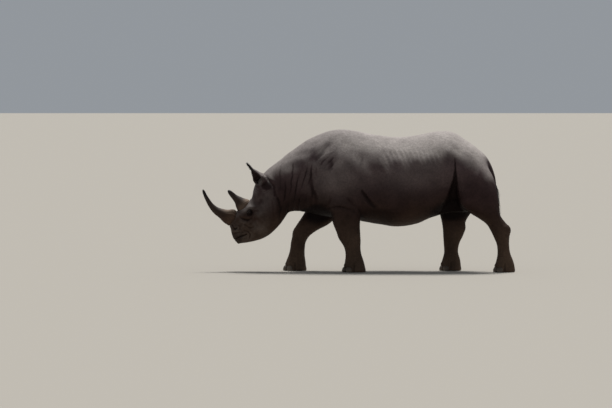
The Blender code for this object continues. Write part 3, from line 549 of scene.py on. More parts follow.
# Folds: side, the way each runs in the side view, its width and its depth from end to end, and
# how much the hide rolls up on the two sides of it.
FOLDS = {
    "elbow": (LEFT, ((0.052, 0.880), (0.075, 0.830), (0.120, 0.770), (0.185, 0.705)),
              (0.010, 0.018, 0.022, 0.022), (0.004, 0.018, 0.020, 0.010), 0.35),
    "elbow_far": (RIGHT, ((-0.070, 0.880), (-0.045, 0.820), (-0.010, 0.760), (0.060, 0.700)),
                  (0.010, 0.018, 0.022, 0.022), (0.003, 0.012, 0.013, 0.006), 0.35),
    "elbow_second": (LEFT, ((0.130, 0.905), (0.165, 0.830), (0.225, 0.755)),
                     (0.018, 0.020, 0.022), (0.001, 0.005, 0.003), 0.4),
    "forearm": (LEFT, ((-0.300, 0.683), (-0.215, 0.700), (-0.125, 0.688), (-0.030, 0.655)),
                (0.010, 0.013, 0.015, 0.014), (0.004, 0.014, 0.015, 0.007), 0.30),
    "forearm_far": (RIGHT, ((-0.560, 0.690), (-0.450, 0.712), (-0.330, 0.690), (-0.220, 0.640)),
                    (0.010, 0.013, 0.015, 0.014), (0.002, 0.007, 0.008, 0.003), 0.25),
    "thigh": (LEFT, ((1.270, 1.02), (1.310, 0.94), (1.338, 0.85), (1.350, 0.74)),
              (0.040, 0.050, 0.050, 0.040), (0.000, 0.004, 0.006, 0.003), 0.2),
    "thigh_far": (RIGHT, ((1.205, 1.02), (1.215, 0.94), (1.210, 0.85), (1.190, 0.74)),
                  (0.040, 0.050, 0.050, 0.040), (0.000, 0.004, 0.006, 0.003), 0.2),
    "stifle": (LEFT, ((1.095, 0.815), (1.150, 0.690), (1.235, 0.640)),
               (0.012, 0.014, 0.014), (0.002, 0.008, 0.003), 0.4),
    "tendon": (LEFT, ((1.490, 0.720), (1.545, 0.610), (1.580, 0.510)),
               (0.016, 0.018, 0.014), (0.002, 0.012, 0.006), 0.3),
    "jaw": (BOTH, ((-0.880, 0.860), (-0.835, 0.760), (-0.815, 0.660), (-0.830, 0.560)),
            (0.016, 0.020, 0.022, 0.018), (0.003, 0.012, 0.014, 0.006), 0.35),
    "behind_ear": (BOTH, ((-0.960, 1.010), (-0.905, 0.930), (-0.885, 0.830)),
                   (0.014, 0.018, 0.016), (0.003, 0.010, 0.004), 0.35),
    "shoulder_top": (BOTH, ((-0.250, 1.410), (-0.310, 1.350), (-0.400, 1.270), (-0.500, 1.170)),
                     (0.022, 0.028, 0.030, 0.026), (0.002, 0.006, 0.006, 0.002), 0.4),
    "shoulder_next": (BOTH, ((-0.215, 1.300), (-0.275, 1.235), (-0.340, 1.120)),
                      (0.022, 0.028, 0.026), (-0.001, -0.003, -0.001), 0.2),
    "neck_base": (BOTH, ((-0.500, 1.130), (-0.490, 0.980), (-0.455, 0.830), (-0.430, 0.720)),
                  (0.018, 0.026, 0.028, 0.022), (0.002, 0.009, 0.012, 0.006), 0.4),
    "under_eye": (BOTH, ((-1.252, 0.580), (-1.218, 0.566), (-1.175, 0.561), (-1.132, 0.574)),
                  (0.009, 0.014, 0.015, 0.009), (0.003, 0.015, 0.017, 0.004), 0.4),
    "cheek": (BOTH, ((-1.200, 0.505), (-1.150, 0.475), (-1.110, 0.480)),
              (0.008, 0.011, 0.008), (0.002, 0.006, 0.002), 0.4),
    "mouth": (BOTH, ((-1.312, 0.338), (-1.275, 0.362), (-1.235, 0.384), (-1.185, 0.402)),
              (0.006, 0.008, 0.009, 0.009), (0.007, 0.013, 0.013, 0.006), 0.45),
    "mouth_corner": (BOTH, ((-1.205, 0.440), (-1.170, 0.425), (-1.150, 0.395), (-1.160, 0.360)),
                     (0.007, 0.009, 0.009, 0.007), (0.002, 0.006, 0.006, 0.002), 0.4),
    "above_lip": (BOTH, ((-1.345, 0.415), (-1.300, 0.412), (-1.255, 0.425)),
                  (0.007, 0.009, 0.007), (0.002, 0.006, 0.002), 0.4),
}


def wander(points, size, seed):
    """An uneven drift between about -1 and 1: the mean of six sine waves that cross the points
    in chance directions, each about as long as the size."""
    chance = np.random.default_rng(seed)
    ways = chance.normal(size=(6, points.shape[1]))
    ways /= np.linalg.norm(ways, axis=1)[:, None] * size * chance.uniform(0.7, 1.4, 6)[:, None]
    turns = points @ ways.T * 2 * math.pi + chance.uniform(0, 2 * math.pi, 6)
    return np.sin(turns).mean(axis=1) * 1.7


def on_side(points, side):
    """1 on the flank of the side asked for, easing to 0 towards the middle plane."""
    return ramp(points[:, 1] * side if side else np.abs(points[:, 1]), 0.015, 0.07)


def bell(values, middle, reach):
    """1 at the middle and 0.37 at the reach to either side: e to the power of minus a square."""
    return np.exp(-(((values - middle) / reach) ** 2))


def to_right(points):
    """The points with those of the left side mirrored over to the right."""
    return np.abs(points) * (0, 1, 0) + points * (1, 0, 1)


def form(points, side, centre, radii, height):
    """A swelling, or a hollow where the height is negative: a bell in three directions."""
    place = to_right(points) if side == BOTH else points * (1, side, 1)
    return height * np.exp(-np.sum(((place - centre) / radii) ** 2, axis=1))


def smooth_way(way, count):
    """A way through a few points, as many points along a smooth curve through them."""
    return smooth_through(np.arange(len(way)), way, np.linspace(0, len(way) - 1, count))


def nearest_on(way, at):
    """The row of the way that is nearest to each place, and how far off it is."""
    gap = np.linalg.norm(at[:, None, :] - way[None, :, :], axis=2)
    return gap.argmin(axis=1), gap.min(axis=1)


def fold(points, side, way, widths, depths, roll):
    """A crease along a smooth way in the side view. Across it the hide sinks as a bell of that
    width, and rolls up as a lower, wider bell on either side."""
    way, at = smooth_way(way, 60), points[:, [0, 2]]
    reach = 4 * max(widths)
    near = (at > way.min(axis=0) - reach).all(axis=1) & (at < way.max(axis=0) + reach).all(axis=1)
    near = np.flatnonzero(near & (on_side(points, side) > 0))
    nearest, across = nearest_on(way, at[near])
    along = nearest / (len(way) - 1)
    width, depth = (np.interp(along, np.linspace(0, 1, len(row)), row) for row in (widths, depths))
    rolls = roll * bell(across, 2.1 * width, 1.1 * width)
    move = np.zeros(len(points))
    move[near] = depth * (rolls - bell(across, 0, width)) * on_side(points[near], side)
    return move


def creases(turns, sharpness=2):
    """A train of creases, one to each turn: 0 along the broad rolls, rising to 1 in the narrow
    creases between them, as a power of one less the size of a sine."""
    return (1 - np.abs(np.sin(np.pi * turns))) ** sharpness


def neck_rings(points):
    """Upright rolls round the neck, with finer ones between, that drift together and apart, and
    that deepen and die out along their length."""
    x, y, z = points.T
    on_neck = ramp(x, -0.88, -0.74) * ramp(x, -0.38, -0.52)
    height = ramp(z, 1.24, 1.02) * ramp(z, 0.60, 0.66) * (0.35 + 0.65 * ramp(np.abs(y), 0.02, 0.09))
    lean = x - 0.12 * (z - 0.9) + 0.020 * wander(points, 0.30, 11) + 0.004 * wander(points, 0.09, 14)
    depth = NECK_DEPTH * np.clip(0.85 + 0.9 * wander(points * (1, 1, 0.35), 0.09, 12), 0.1, 1.7)
    broad = depth * creases(lean / NECK_SPACING, 1.3)
    fine = NECK_FINE_DEPTH * creases(lean / NECK_FINE_SPACING + 0.7 * wander(points, 0.10, 13))
    return -(broad + fine) * on_neck * height


def shoulder_ripples(points):
    """Slanting ripples before and over the blade bone."""
    x, _, z = points.T
    across = 0.69 * (x + 0.36) - 0.72 * (z - 1.26) + 0.012 * wander(points, 0.3, 21)
    spread = np.exp(-(((x + 0.34) / 0.17) ** 2) - (((z - 1.24) / 0.16) ** 2))
    return -SHOULDER_DEPTH * creases(across / SHOULDER_SPACING) * spread * on_side(points, BOTH)


def rib_ripples(points):
    """Ribs under the hide: short slanting ripples below the loins, and fainter and wider ones down
    the barrel."""
    x, _, z = points.T
    slant = x + 0.40 * (z - 1.2) + 0.008 * wander(points, 0.4, 31)
    high = ramp(x, 0.22, 0.34) * ramp(x, 0.95, 0.86) * ramp(z, 1.09, 1.16) * ramp(z, 1.36, 1.29)
    low = ramp(x, 0.05, 0.2) * ramp(x, 0.95, 0.8) * ramp(z, 0.7, 0.85) * ramp(z, 1.2, 1.05)
    ribs = 0.5 + 0.5 * np.cos(2 * np.pi * slant / BARREL_SPACING)
    ripples = 0.5 - creases(slant / RIB_SPACING, 1.5)
    return RIB_DEPTH * ripples * high + BARREL_DEPTH * (ribs - 0.5) * low


def haunch_folds(points):
    """Soft upright ripples where the hide is drawn over the front of the thigh and the rump."""
    x, _, z = points.T
    run = x - 0.35 * (z - 0.9) + 0.016 * wander(points, 0.35, 41)
    spread = np.exp(-(((x - 1.22) / 0.15) ** 2) - (((z - 0.86) / 0.20) ** 2))
    return -HAUNCH_DEPTH * creases(run / HAUNCH_SPACING) * spread * on_side(points, BOTH)


# Creases round the ankles, the knees and above them: the height of the middle one, how far they
# reach above and below it, how deep they are and how far apart.
LEG_CREASES = ((0.175, 0.050, 0.0035, 0.019), (0.385, 0.060, 0.0035, 0.024), (0.52, 0.050, 0.0022, 0.021))


def leg_rings_of_hide(points):
    """Level creases over the knees, hocks and ankles."""
    x, _, z = points.T
    drift = 0.006 * wander(points, 0.12, 51)
    rings = sum(
        bell(z, height, reach) * depth * creases((z + drift) / apart)
        for height, reach, depth, apart in LEG_CREASES
    )
    return -rings * ramp(z, 0.60, 0.55) * ramp(x, -0.9, -0.8)


def loose_hide(points):
    """The hide is never quite smooth: broad sags and small lumps of a few millimetres."""
    lumps = 0.0022 * wander(points, 0.26, 61) + 0.0012 * wander(points, 0.11, 62)
    return lumps * ramp(points[:, 2], 0.02, 0.15)


# The pocket in front of each thigh, where the belly draws up behind a hanging skin: the way its
# middle runs down in the side view, its half width there, and how near the middle plane it goes.
POCKETS = {
    LEFT: (((1.042, 1.225), (1.044, 1.10), (1.043, 1.00), (1.030, 0.85), (1.020, 0.70), (1.015, 0.58)),
           (0.006, 0.014, 0.026, 0.056, 0.105, 0.130), (0.005, 0.026, 0.055, 0.115, 0.170, 0.190)),
    RIGHT: (((0.985, 1.225), (0.978, 1.10), (0.960, 1.00), (0.915, 0.85), (0.862, 0.70), (0.840, 0.58)),
            (0.006, 0.012, 0.020, 0.034, 0.050, 0.060), (0.005, 0.020, 0.040, 0.070, 0.090, 0.100)),
}


def pocket_depth(points):
    """How far the hide lies in towards the middle plane at the pockets: steep at the thigh, and
    with a rounder edge at the belly."""
    at, depth = points[:, [0, 2]], np.zeros(len(points))
    for side, (way, widths, depths) in POCKETS.items():
        way = smooth_way(way, 80)
        near = (np.abs(at[:, 0] - 1.0) < 0.35) & (at[:, 1] < 1.3) & (points[:, 1] * side > 0.05)
        near = np.flatnonzero(near)
        nearest, across = nearest_on(way, at[near])
        across *= np.sign(at[near, 0] - way[nearest, 0])
        along = nearest / (len(way) - 1) * (len(widths) - 1)
        across /= np.interp(along, np.arange(len(widths)), widths)
        inside = np.where(across > 0, ramp(across, 1.15, 0.45), ramp(-across, 1.35, 0.20))
        depth[near] = np.interp(along, np.arange(len(depths)), depths) * inside
    return depth


def pocketed(points):
    """The points drawn in towards the middle plane at the pockets, but never through it."""
    drawn = np.minimum(pocket_depth(points), np.maximum(np.abs(points[:, 1]) - 0.10, 0))
    return points - drawn[:, None] * np.sign(points[:, 1])[:, None] * (0, 1, 0)


def sculpted(points):
    """How far each point of the flesh is moved out along its normal."""
    move = sum(form(points, *values) for values in FORMS.values())
    drifted = points + 0.006 * np.stack([wander(points, 0.16, seed) for seed in (1, 2, 3)], axis=1)
    move = move + sum(fold(drifted, *values) for values in FOLDS.values())
    move += neck_rings(points) + shoulder_ripples(points) + rib_ripples(points)
    return move + haunch_folds(points) + leg_rings_of_hide(points) + loose_hide(points)


skin_points = points_of(skin.data)
moved = sculpted(skin_points) * (1 - near_ear(skin_points))
move_to(skin.data, pocketed(skin_points + normals_of(skin.data) * moved[:, None]))
soften(skin, 0.5 * (1 - near_ear(skin_points)), 2)


# --------------------------------------------------------------------------------------------
# The skin is thinned where it is plain and kept fine on the head and feet. Then come the small
# forms: lids over the eyeballs, nostrils, the wrinkles of the muzzle, rings at the roots of the
# horns and ears, and the toes.

SKIN_TRIANGLES = 172000
EYE_RADIUS = 0.021
LID_THICKNESS = 0.0032
EYE_OUTWARD = Vector((-0.30, 0.94, 0.10)).normalized()
EYE_SLIT_TILT = math.radians(34)
EYE_HALF_LENGTH = 0.0185
EYE_HALF_OPENING = 0.0105
NOSTRIL = ((-1.338, 0.500), (-1.330, 0.472), (-1.308, 0.457), (-1.288, 0.468))

# Small creases: how far apart they lie, and how deep they are.
EYE_RING_SPACING, EYE_RING_DEPTH = 0.0105, 0.0026
MUZZLE_SPACING, MUZZLE_DEPTH = 0.0125, 0.0016
LIP_SPACING, LIP_DEPTH = 0.0115, 0.0014
EAR_RING_SPACING, EAR_RING_DEPTH = 0.021, 0.0022
PAD_CRACK_SPACING, PAD_CRACK_DEPTH = 0.012, 0.0014
COLLAR_HEIGHT, COLLAR_GROOVE = 0.0055, 0.0040

# Horns: points (x, z) up the middle of the horn, with its half thickness in the middle plane
# and its half width across. The first points lie in the head.
HORNS = {
    "horn_front": (
        (-1.310, 0.560, 0.076, 0.066), (-1.345, 0.577, 0.090, 0.074), (-1.392, 0.592, 0.078, 0.064),
        (-1.445, 0.618, 0.056, 0.050), (-1.511, 0.654, 0.0400, 0.037), (-1.565, 0.707, 0.0290, 0.028),
        (-1.603, 0.767, 0.0225, 0.022), (-1.633, 0.825, 0.0170, 0.017), (-1.650, 0.868, 0.0110, 0.011),
        (-1.655, 0.880, 0.0045, 0.0045),
    ),
    "horn_rear": (
        (-1.190, 0.652, 0.066, 0.055), (-1.212, 0.698, 0.088, 0.068), (-1.245, 0.732, 0.070, 0.058),
        (-1.275, 0.763, 0.048, 0.041), (-1.311, 0.795, 0.033, 0.028), (-1.347, 0.832, 0.026, 0.021),
        (-1.373, 0.859, 0.018, 0.016), (-1.385, 0.871, 0.008, 0.008),
    ),
}

# Where each foot stands: the centre of its sole (x, y) and the half length and half width of the
# foot at the height of the toenails. Three nails look forward from it, the middle one broadest:
# each has a turn from straight ahead in degrees and a half width. Grooves part the toes.
FEET = {
    "front_left": (-0.028, -0.176, 0.116, 0.102),
    "front_right": (-0.660, 0.176, 0.116, 0.102),
    "hind_left": (1.582, -0.174, 0.106, 0.090),
    "hind_right": (1.021, 0.174, 0.108, 0.090),
}
NAILS = {"inner": (-56, 0.036), "middle": (0, 0.052), "outer": (56, 0.036)}
NAIL_HEIGHT = 0.062
TOE_GROOVES = (-29, 29, -88, 88)
GROOVE_DEPTH, BROW_HEIGHT, PAD_BULGE = 0.0085, 0.0050, 0.0040


def refine(mesh, wanted):
    """Splits every edge whose two ends are wanted, and mends the faces round them."""
    dense = bmesh.new()
    dense.from_mesh(mesh)
    dense.verts.ensure_lookup_table()
    edges = [edge for edge in dense.edges if wanted[edge.verts[0].index] and wanted[edge.verts[1].index]]
    bmesh.ops.subdivide_edges(dense, edges=edges, cuts=1, smooth=1.0)
    bmesh.ops.triangulate(dense, faces=[face for face in dense.faces if len(face.verts) > 3])
    dense.to_mesh(mesh)
    dense.free()


def from_eye(points):
    """The nearer eye's own frame: along its slit from the inner corner, up across the slit, and
    out from the head, all from the middle of the eyeball."""
    place = to_right(points) - EYE
    out = np.array(EYE_OUTWARD)
    level = np.cross(out, (0, 0, 1))
    level /= np.linalg.norm(level)
    upright = np.cross(level, out)
    slit = math.cos(EYE_SLIT_TILT) * level * np.sign(level[0]) + math.sin(EYE_SLIT_TILT) * upright
    across = np.cross(out, slit)
    across *= np.sign(across[2])
    return place @ slit, place @ across, place @ out, (slit, across, out)


def lids(points):
    """Carries the hide over the eyeball as two lids. They follow a ball a lid's thickness larger
    than the eye; inside the almond of the opening the hide is tucked in behind the eye's face;
    farther out it eases back to the head."""
    a, b, h, (_, across, out) = from_eye(points)
    rho = np.hypot(a, b)
    lid_ball = EYE_RADIUS + LID_THICKNESS
    lid = np.sqrt(np.maximum(lid_ball**2 - rho**2, 0.0))
    beyond = ramp(rho, 0.017, 0.034)
    arch = np.maximum(1 - np.abs(a / EYE_HALF_LENGTH) ** 2.2, 0)
    opening = np.where(b > 0, 1.0, 0.72) * EYE_HALF_OPENING * arch
    margin = np.abs(b) - opening
    snapped = (np.abs(margin) < 0.0007) & (np.abs(a) < EYE_HALF_LENGTH)
    b_new = np.where(snapped, np.sign(b) * (opening + 0.0001), b)
    bag = 0.0016 * bell(rho, 0.0235, 0.0022) * ramp(b, 0.004, -0.006)
    crease_above = -0.0022 * bell(rho, 0.0205, 0.0018) * ramp(b, 0.002, 0.008)
    rim = 0.0010 * bell(np.maximum(margin, 0), 0, 0.0016) * (np.abs(a) < EYE_HALF_LENGTH)
    target = lid * (1 - beyond) + h * beyond + bag + crease_above + rim
    inside = (margin < 0) & ~snapped & (np.abs(a) < EYE_HALF_LENGTH)
    target = np.where(inside, EYE_RADIUS * 0.45, target)
    near = (rho < 0.034) & (h > -0.02)
    move = (b_new - b)[:, None] * across + (target - h)[:, None] * out
    move[:, 1] *= np.sign(points[:, 1])
    return points + move * near[:, None]


def eye_wrinkles(points):
    """Rings of small folds round the eye, deeper below and before it than above."""
    a, b, h, _ = from_eye(points)
    rho = np.hypot(a, b * 1.15) + 0.0015 * wander(points, 0.05, 71)
    below = 0.35 + 0.65 * ramp(b + 0.4 * a, 0.01, -0.02)
    ring = ramp(rho, 0.026, 0.032) * ramp(rho, 0.085, 0.055) * (h > -0.06)
    return -EYE_RING_DEPTH * creases((rho - 0.0300) / EYE_RING_SPACING) * ring * below


def muzzle_wrinkles(points):
    """Fine creases over the muzzle that follow the lip, and upright ones that cross the lips."""
    x, _, z = points.T
    away = np.hypot(x + 1.19, z - 0.36) + 0.003 * wander(points, 0.07, 72)
    here = ramp(x, -1.17, -1.25) * ramp(z, 0.56, 0.50)
    level = -MUZZLE_DEPTH * creases(away / MUZZLE_SPACING) * here
    turn = np.arctan2(z - 0.44, x + 1.20) * 0.12 + 0.002 * wander(points, 0.05, 73)
    lips = bell(z - 0.345 - 0.35 * (x + 1.26), 0, 0.030) * ramp(x, -1.16, -1.22)
    return level - LIP_DEPTH * creases(turn / LIP_SPACING) * lips


def ear_root_rings(points):
    """Two or three rings of slack hide round the root of each ear."""
    away = np.linalg.norm(to_right(points) - EAR_BASE - (0.01, 0.0, -0.01), axis=1)
    away += 0.003 * wander(points, 0.08, 74)
    rings = creases((away - 0.068) / EAR_RING_SPACING)
    return -EAR_RING_DEPTH * rings * ramp(away, 0.060, 0.072) * ramp(away, 0.125, 0.090)


def nostril(points):
    """A comma that opens out and forward: a deep groove with a thick rim round it."""
    way = smooth_way(NOSTRIL, 40)
    nearest, across = nearest_on(way, points[:, [0, 2]])
    along = nearest / (len(way) - 1)
    width = np.interp(along, (0, 0.5, 1), (0.0075, 0.0105, 0.0065))
    depth = 0.026 * np.interp(along, (0, 0.5, 1), (0.7, 1, 0.5))
    return 0.0045 * bell(across, 0.019, 0.007) - depth * np.exp(-((across / width) ** 4))


def horn_collars(points):
    """The hide swells into a rough collar where each horn stands on it, with a groove between."""
    move = np.zeros(len(points))
    for table in HORNS.values():
        rows = path_rows(table, 6)
        nearest, gap = nearest_on(rows[:, :2], points[:, [0, 2]])
        thick, wide = rows[nearest, 2], rows[nearest, 3]
        away = (np.hypot(gap / thick, points[:, 1] / wide) - 1) * thick
        away += 0.0025 * wander(points, 0.035, 75)
        move += COLLAR_HEIGHT * bell(away, 0.016, 0.009) - COLLAR_GROOVE * bell(away, 0.001, 0.005)
    return move


def toes(points):
    """Each foot parts into three toes with a pad behind: grooves between the nails, a swelling
    over each nail, and a bulge of the pad just above the floor."""
    move = np.zeros(len(points))
    for x, y, half_length, half_width in FEET.values():
        side = math.copysign(1, y)
        ahead, across = (x - points[:, 0]) / half_length, (points[:, 1] - y) * side / half_width
        here = (np.hypot(ahead, across) < 1.7) & (points[:, 2] < 0.2)
        turn = np.degrees(np.arctan2(across, ahead))
        low = ramp(points[:, 2], 0.125, 0.06)
        parting = sum(bell(turn, at, 7) for at in TOE_GROOVES)
        crown = sum(bell(turn, at, 15) for at, _ in NAILS.values())
        brow = bell(points[:, 2] - NAIL_HEIGHT, 0.012, 0.013)
        pad = bell(points[:, 2], 0.022, 0.020) * ramp(np.abs(turn), 80, 110)
        raised = BROW_HEIGHT * crown * brow + PAD_BULGE * pad
        move += (raised - GROOVE_DEPTH * parting * low) * here
    return move


def foot_cracks(points):
    """The pad's side is cut by short upright cracks."""
    move = np.zeros(len(points))
    for x, y, _, _ in FEET.values():
        turn = np.arctan2(points[:, 1] - y, points[:, 0] - x) * 0.1 + 0.003 * wander(points, 0.05, 77)
        here = np.hypot(points[:, 0] - x, points[:, 1] - y) < 0.2
        cracks = creases(turn / PAD_CRACK_SPACING) * ramp(points[:, 2], 0.09, 0.05)
        move -= PAD_CRACK_DEPTH * cracks * here
    return move


skin_points = points_of(skin.data)
head_share = ramp(skin_points[:, 0], -0.80, -0.98) * ramp(skin_points[:, 2], 0.26, 0.30)
foot_share = 0.45 * ramp(skin_points[:, 2], 0.26, 0.16)
neck_share = 0.30 * ramp(skin_points[:, 0], -0.35, -0.55) * ramp(skin_points[:, 2], 0.55, 0.65)
kept_fine = np.maximum(np.maximum(head_share, foot_share), neck_share)
share_of_triangles = SKIN_TRIANGLES / (2 * len(skin.data.polygons))
rework(skin, "DECIMATE", 1 - 0.8 * kept_fine, vertex_group_factor=0.02, ratio=share_of_triangles)
for reach in (0.050, 0.030):
    a, b, h, _ = from_eye(points_of(skin.data))
    refine(skin.data, (np.hypot(a, b) < reach) & (h > -0.02))
skin_points = points_of(skin.data)
normals = normals_of(skin.data)
move = eye_wrinkles(skin_points) + muzzle_wrinkles(skin_points) + ear_root_rings(skin_points)
at_head = np.flatnonzero(skin_points[:, 0] < -0.85)
move[at_head] += nostril(skin_points[at_head]) + horn_collars(skin_points[at_head])
move += toes(skin_points) + foot_cracks(skin_points)
skin_points = lids(skin_points + normals * move[:, None])
skin_points[:, 2] = np.maximum(skin_points[:, 2], 0.0)
move_to(skin.data, skin_points)


# --------------------------------------------------------------------------------------------
# The hide: bare, thick, grey-brown skin with a fine cracked grain. Dry, pale dusting lies on all
# that faces up and on the tops of the rolls, laid on thick enough to be partly painted top light;
# the flanks, the belly and the legs keep the colour of the skin itself, and the depths of the
# folds are darkened with painted shade.

# Its cracks are really 6 to 10 mm apart; they are drawn 16 mm apart so that they show. They
# stray by up to 22 mm, and fade out to either side over a share of their spacing.
CRACK_SPACING = 0.016
CRACK_STRAY = (0.022, 0.022, 0.022)
CRACK_HALF_WIDTH = 0.16
WRINKLE_SPACING = 0.030

# A crease counts in full where the hide lies this far below its own evened surface; the hide is
# darkened there as painted shade. The normals are evened too, for the broad slope that the
# dusting and painted top light lie on.
FULL_CREASE, CREASE_ROUNDS, BROAD_ROUNDS = 0.0042, 16, 12

# The colour of the bare hide by height above the floor: earthy on the legs, darkest and brownest
# on the belly, jaw and muzzle, partly their own colour and partly painted shade under the body and
# head, and a purplish grey on the flanks and neck.
FULL_HEIGHT = 1.6
HIDE_TONES = (
    (0.00, "#514135"), (0.35, "#48392f"), (0.60, "#32241f"), (0.85, "#322424"), (1.05, "#473939"),
    (1.25, "#4e4243"), (FULL_HEIGHT, "#504647"),
)
# The pale of dusting, laid on partly as painted top light; the painted shade of creases and pockets; and the
# darkest tone, for painted shade and for the ear tips and lips.
DUST_AND_LIGHT_TONE, CREASE_SHADE_TONE, BARE_AND_SHADE_TONE = "#b4aba5", "#150e0d", "#140d0c"

# Painted light and shade, laid on as more or less of the pale dusting colour than the slope alone
# would give: a share above 0 paints light, and one below 0 paints shade. The middle of each
# patch (x, z), its half lengths, and the share.
PAINTED_LIGHT_AND_SHADE_PATCHES = {
    "shoulder": ((-0.25, 1.03), (0.26, 0.21), 0.165),
    "neck_side": ((-0.57, 1.25), (0.11, 0.08), -0.16),
    "flank": ((0.56, 1.04), (0.42, 0.16), 0.097),
    "rib_ends": ((0.73, 1.17), (0.16, 0.06), 0.085),
    "loin": ((0.83, 1.31), (0.16, 0.07), 0.25),
    "rump_side": ((1.22, 1.08), (0.13, 0.10), -0.22),
    "jaw": ((-0.93, 0.79), (0.065, 0.13), 0.085),
    "brow": ((-1.150, 0.715), (0.045, 0.028), 0.28),
    "nose_ridge": ((-1.215, 0.678), (0.045, 0.028), 0.28),
    "under_eye": ((-1.190, 0.580), (0.060, 0.035), -0.15),
}

# Painted shade where the body shades itself, between and behind the legs and under the chest,
# throat and ears: the hide is darkened there and holds less dusting. The middle of each patch,
# its half lengths and its share.
PAINTED_SHADE_PATCHES = {
    "between_hind_legs": ((1.00, 0, 0.67), (0.29, 0.28, 0.13), 1.0),
    "between_forelegs": ((-0.42, -0.06, 0.60), (0.24, 0.22, 0.10), 1.0),
    "chest": ((-0.43, -0.14, 0.60), (0.13, 0.30, 0.13), 1.0),
    "throat": ((-0.61, 0, 0.68), (0.22, 0.40, 0.15), 0.4),
    "under_ear": ((-0.965, 0, 0.925), (0.055, 0.40, 0.045), 0.55),
    "behind_elbow": ((0.22, 0, 0.60), (0.22, 0.42, 0.11), 0.5),
}


def neighbours(mesh):
    """The two ends of each edge, both ways round, and how many edges meet at each point."""
    ends = np.empty(len(mesh.edges) * 2, np.int32)
    mesh.edges.foreach_get("vertices", ends)
    here = np.concatenate([ends[0::2], ends[1::2]])
    there = np.concatenate([ends[1::2], ends[0::2]])
    return here, there, np.bincount(here, minlength=len(mesh.vertices))


def evened(values, links, rounds):
    """Each point's values moved half way to the mean of its neighbours', round after round."""
    here, there, count = links
    for _ in range(rounds):
        sums = [np.bincount(here, values[there, i], len(count)) for i in range(values.shape[1])]
        values = (values + np.stack(sums, axis=1) / count[:, None]) / 2
    return values


def sunk_below(points, normals, links, rounds):
    """How far each point lies below the evened surface, in metres: above 0 in a crease."""
    return np.sum((evened(points, links, rounds) - points) * normals, axis=1)


def store(mesh, name, values):
    """Keeps a value for each point, which a material can read by its name."""
    mesh.attributes.new(name, "FLOAT", "POINT").data.foreach_set("value", values.astype(np.float32))


def dust_and_top_light_on(points, normals, broad_normals, crease):
    """Dust lies where the hide faces up, less so where drifting patches have rubbed off, and catches on
    the tops of rolls; there it is partly painted top light. It thins out down the legs and on the
    muzzle, and lies in blotches over the face. The patches of painted light and shade are added,
    and creases and shaded patches hold less of it."""
    x, _, z = points.T
    patches = 0.07 * wander(points, 0.55, 81) + 0.07 * wander(points, 0.17, 82)
    facing_up = ramp(0.8 * broad_normals[:, 2] + 0.2 * normals[:, 2] + patches, 0.20, 0.62)
    facing_up *= 0.68 + 0.32 * ramp(x, -0.40, 0.15)
    ridge = 0.14 * np.clip(-crease, 0, 1) * ramp(broad_normals[:, 2], -0.5, 0.3)
    low = ramp(z, 0.50, 0.95) * (0.40 + 0.60 * ramp(x, -1.15, -0.85))
    blotches = ramp(0.6 * wander(points, 0.15, 84) + 0.3 * wander(points, 0.055, 85), -0.7, 0.9)
    lying = (facing_up + ridge) * low + (0.02 + 0.09 * blotches) * ramp(x, -0.90, -1.02)
    for middle, reach, share in PAINTED_LIGHT_AND_SHADE_PATCHES.values():
        lying += share * np.exp(-(((points[:, [0, 2]] - middle) / reach) ** 2).sum(axis=1))
    return np.clip(lying - 0.35 * np.clip(crease, 0, 1), 0, 1)


points, normals = points_of(skin.data), normals_of(skin.data)
links = neighbours(skin.data)
crease = np.clip(sunk_below(points, normals, links, CREASE_ROUNDS) / FULL_CREASE, -1, 1)
# The top of the back is plain, with no folds to take painted crease shade.
crease *= 1 - ramp(points[:, 2], 1.32, 1.38) * ramp(points[:, 0], -0.10, 0.05)
broad_normals = evened(normals, links, BROAD_ROUNDS)
# Painted shade also darkens the pockets before the thighs, deepest where the hide draws in.
crease = np.maximum(crease, ramp(pocket_depth(points), 0.012, 0.050))
# Painted shade in the patches where the body shades itself.
painted_shade = np.zeros(len(points))
for middle, radii, share in PAINTED_SHADE_PATCHES.values():
    painted_shade = np.maximum(painted_shade, share * ramp((((points - middle) / radii) ** 2).sum(axis=1), 1.6, 0.6))
crease = np.maximum(crease, painted_shade)
# The crease value is where the hide is darkened as painted shade, and holds less dusting.
store(skin.data, "crease", np.clip(crease, 0, 1))
store(skin.data, "dust_and_top_light", dust_and_top_light_on(points, normals, broad_normals, crease))
# Darker hide: painted shade round the eyes under the lids and brow, in the ear cups and in the shaded
# patches, with the darker tips of the ears, where their fringe grows, and the lips.
a, b, h, _ = from_eye(points)
around_eye = ramp(np.hypot(a, b), 0.046, 0.024) * (h > -0.03)
ear_cup_shade_and_dark_tip = np.zeros(len(points))
for side in SIDES.values():
    to_ear = np.linalg.inv(ear_place(side))
    x, y, up = carried(points, to_ear).T
    in_cup = (turned(normals, to_ear)[:, 1] < -0.1) & (np.abs(x) < 0.07) & (np.abs(y) < 0.08)
    ear_cup_shade_and_dark_tip += 0.25 * in_cup * ramp(up, 0.03, 0.06) * (up < EAR_LENGTH)
    ear_cup_shade_and_dark_tip += ramp(up, 0.60 * EAR_LENGTH, 0.72 * EAR_LENGTH) * (np.hypot(x, y) < 0.05)
lips = ramp(points[:, 0], -1.20, -1.26) * ramp(points[:, 2], 0.44, 0.36)
store(skin.data, "bare_and_shade", np.clip(around_eye + 0.6 * ear_cup_shade_and_dark_tip + 0.6 * lips + painted_shade**2, 0, 1))

height = points[:, 2] + 0.05 * wander(points, 0.3, 83)
# Painted shade: hide that faces down takes the darker tones of lower down.
height -= 0.10 * ramp(broad_normals[:, 2], -0.2, -0.8)
store(skin.data, "height", height)

# The sockets of a colour mix: its two colours and the mixed one. Noise keeps mostly to the
# middle of its range, so its shades are spread from there.
MIX_A, MIX_B, MIXED = 6, 7, 2
NOISE_SPAN = {"From Min": 0.3, "From Max": 0.7}


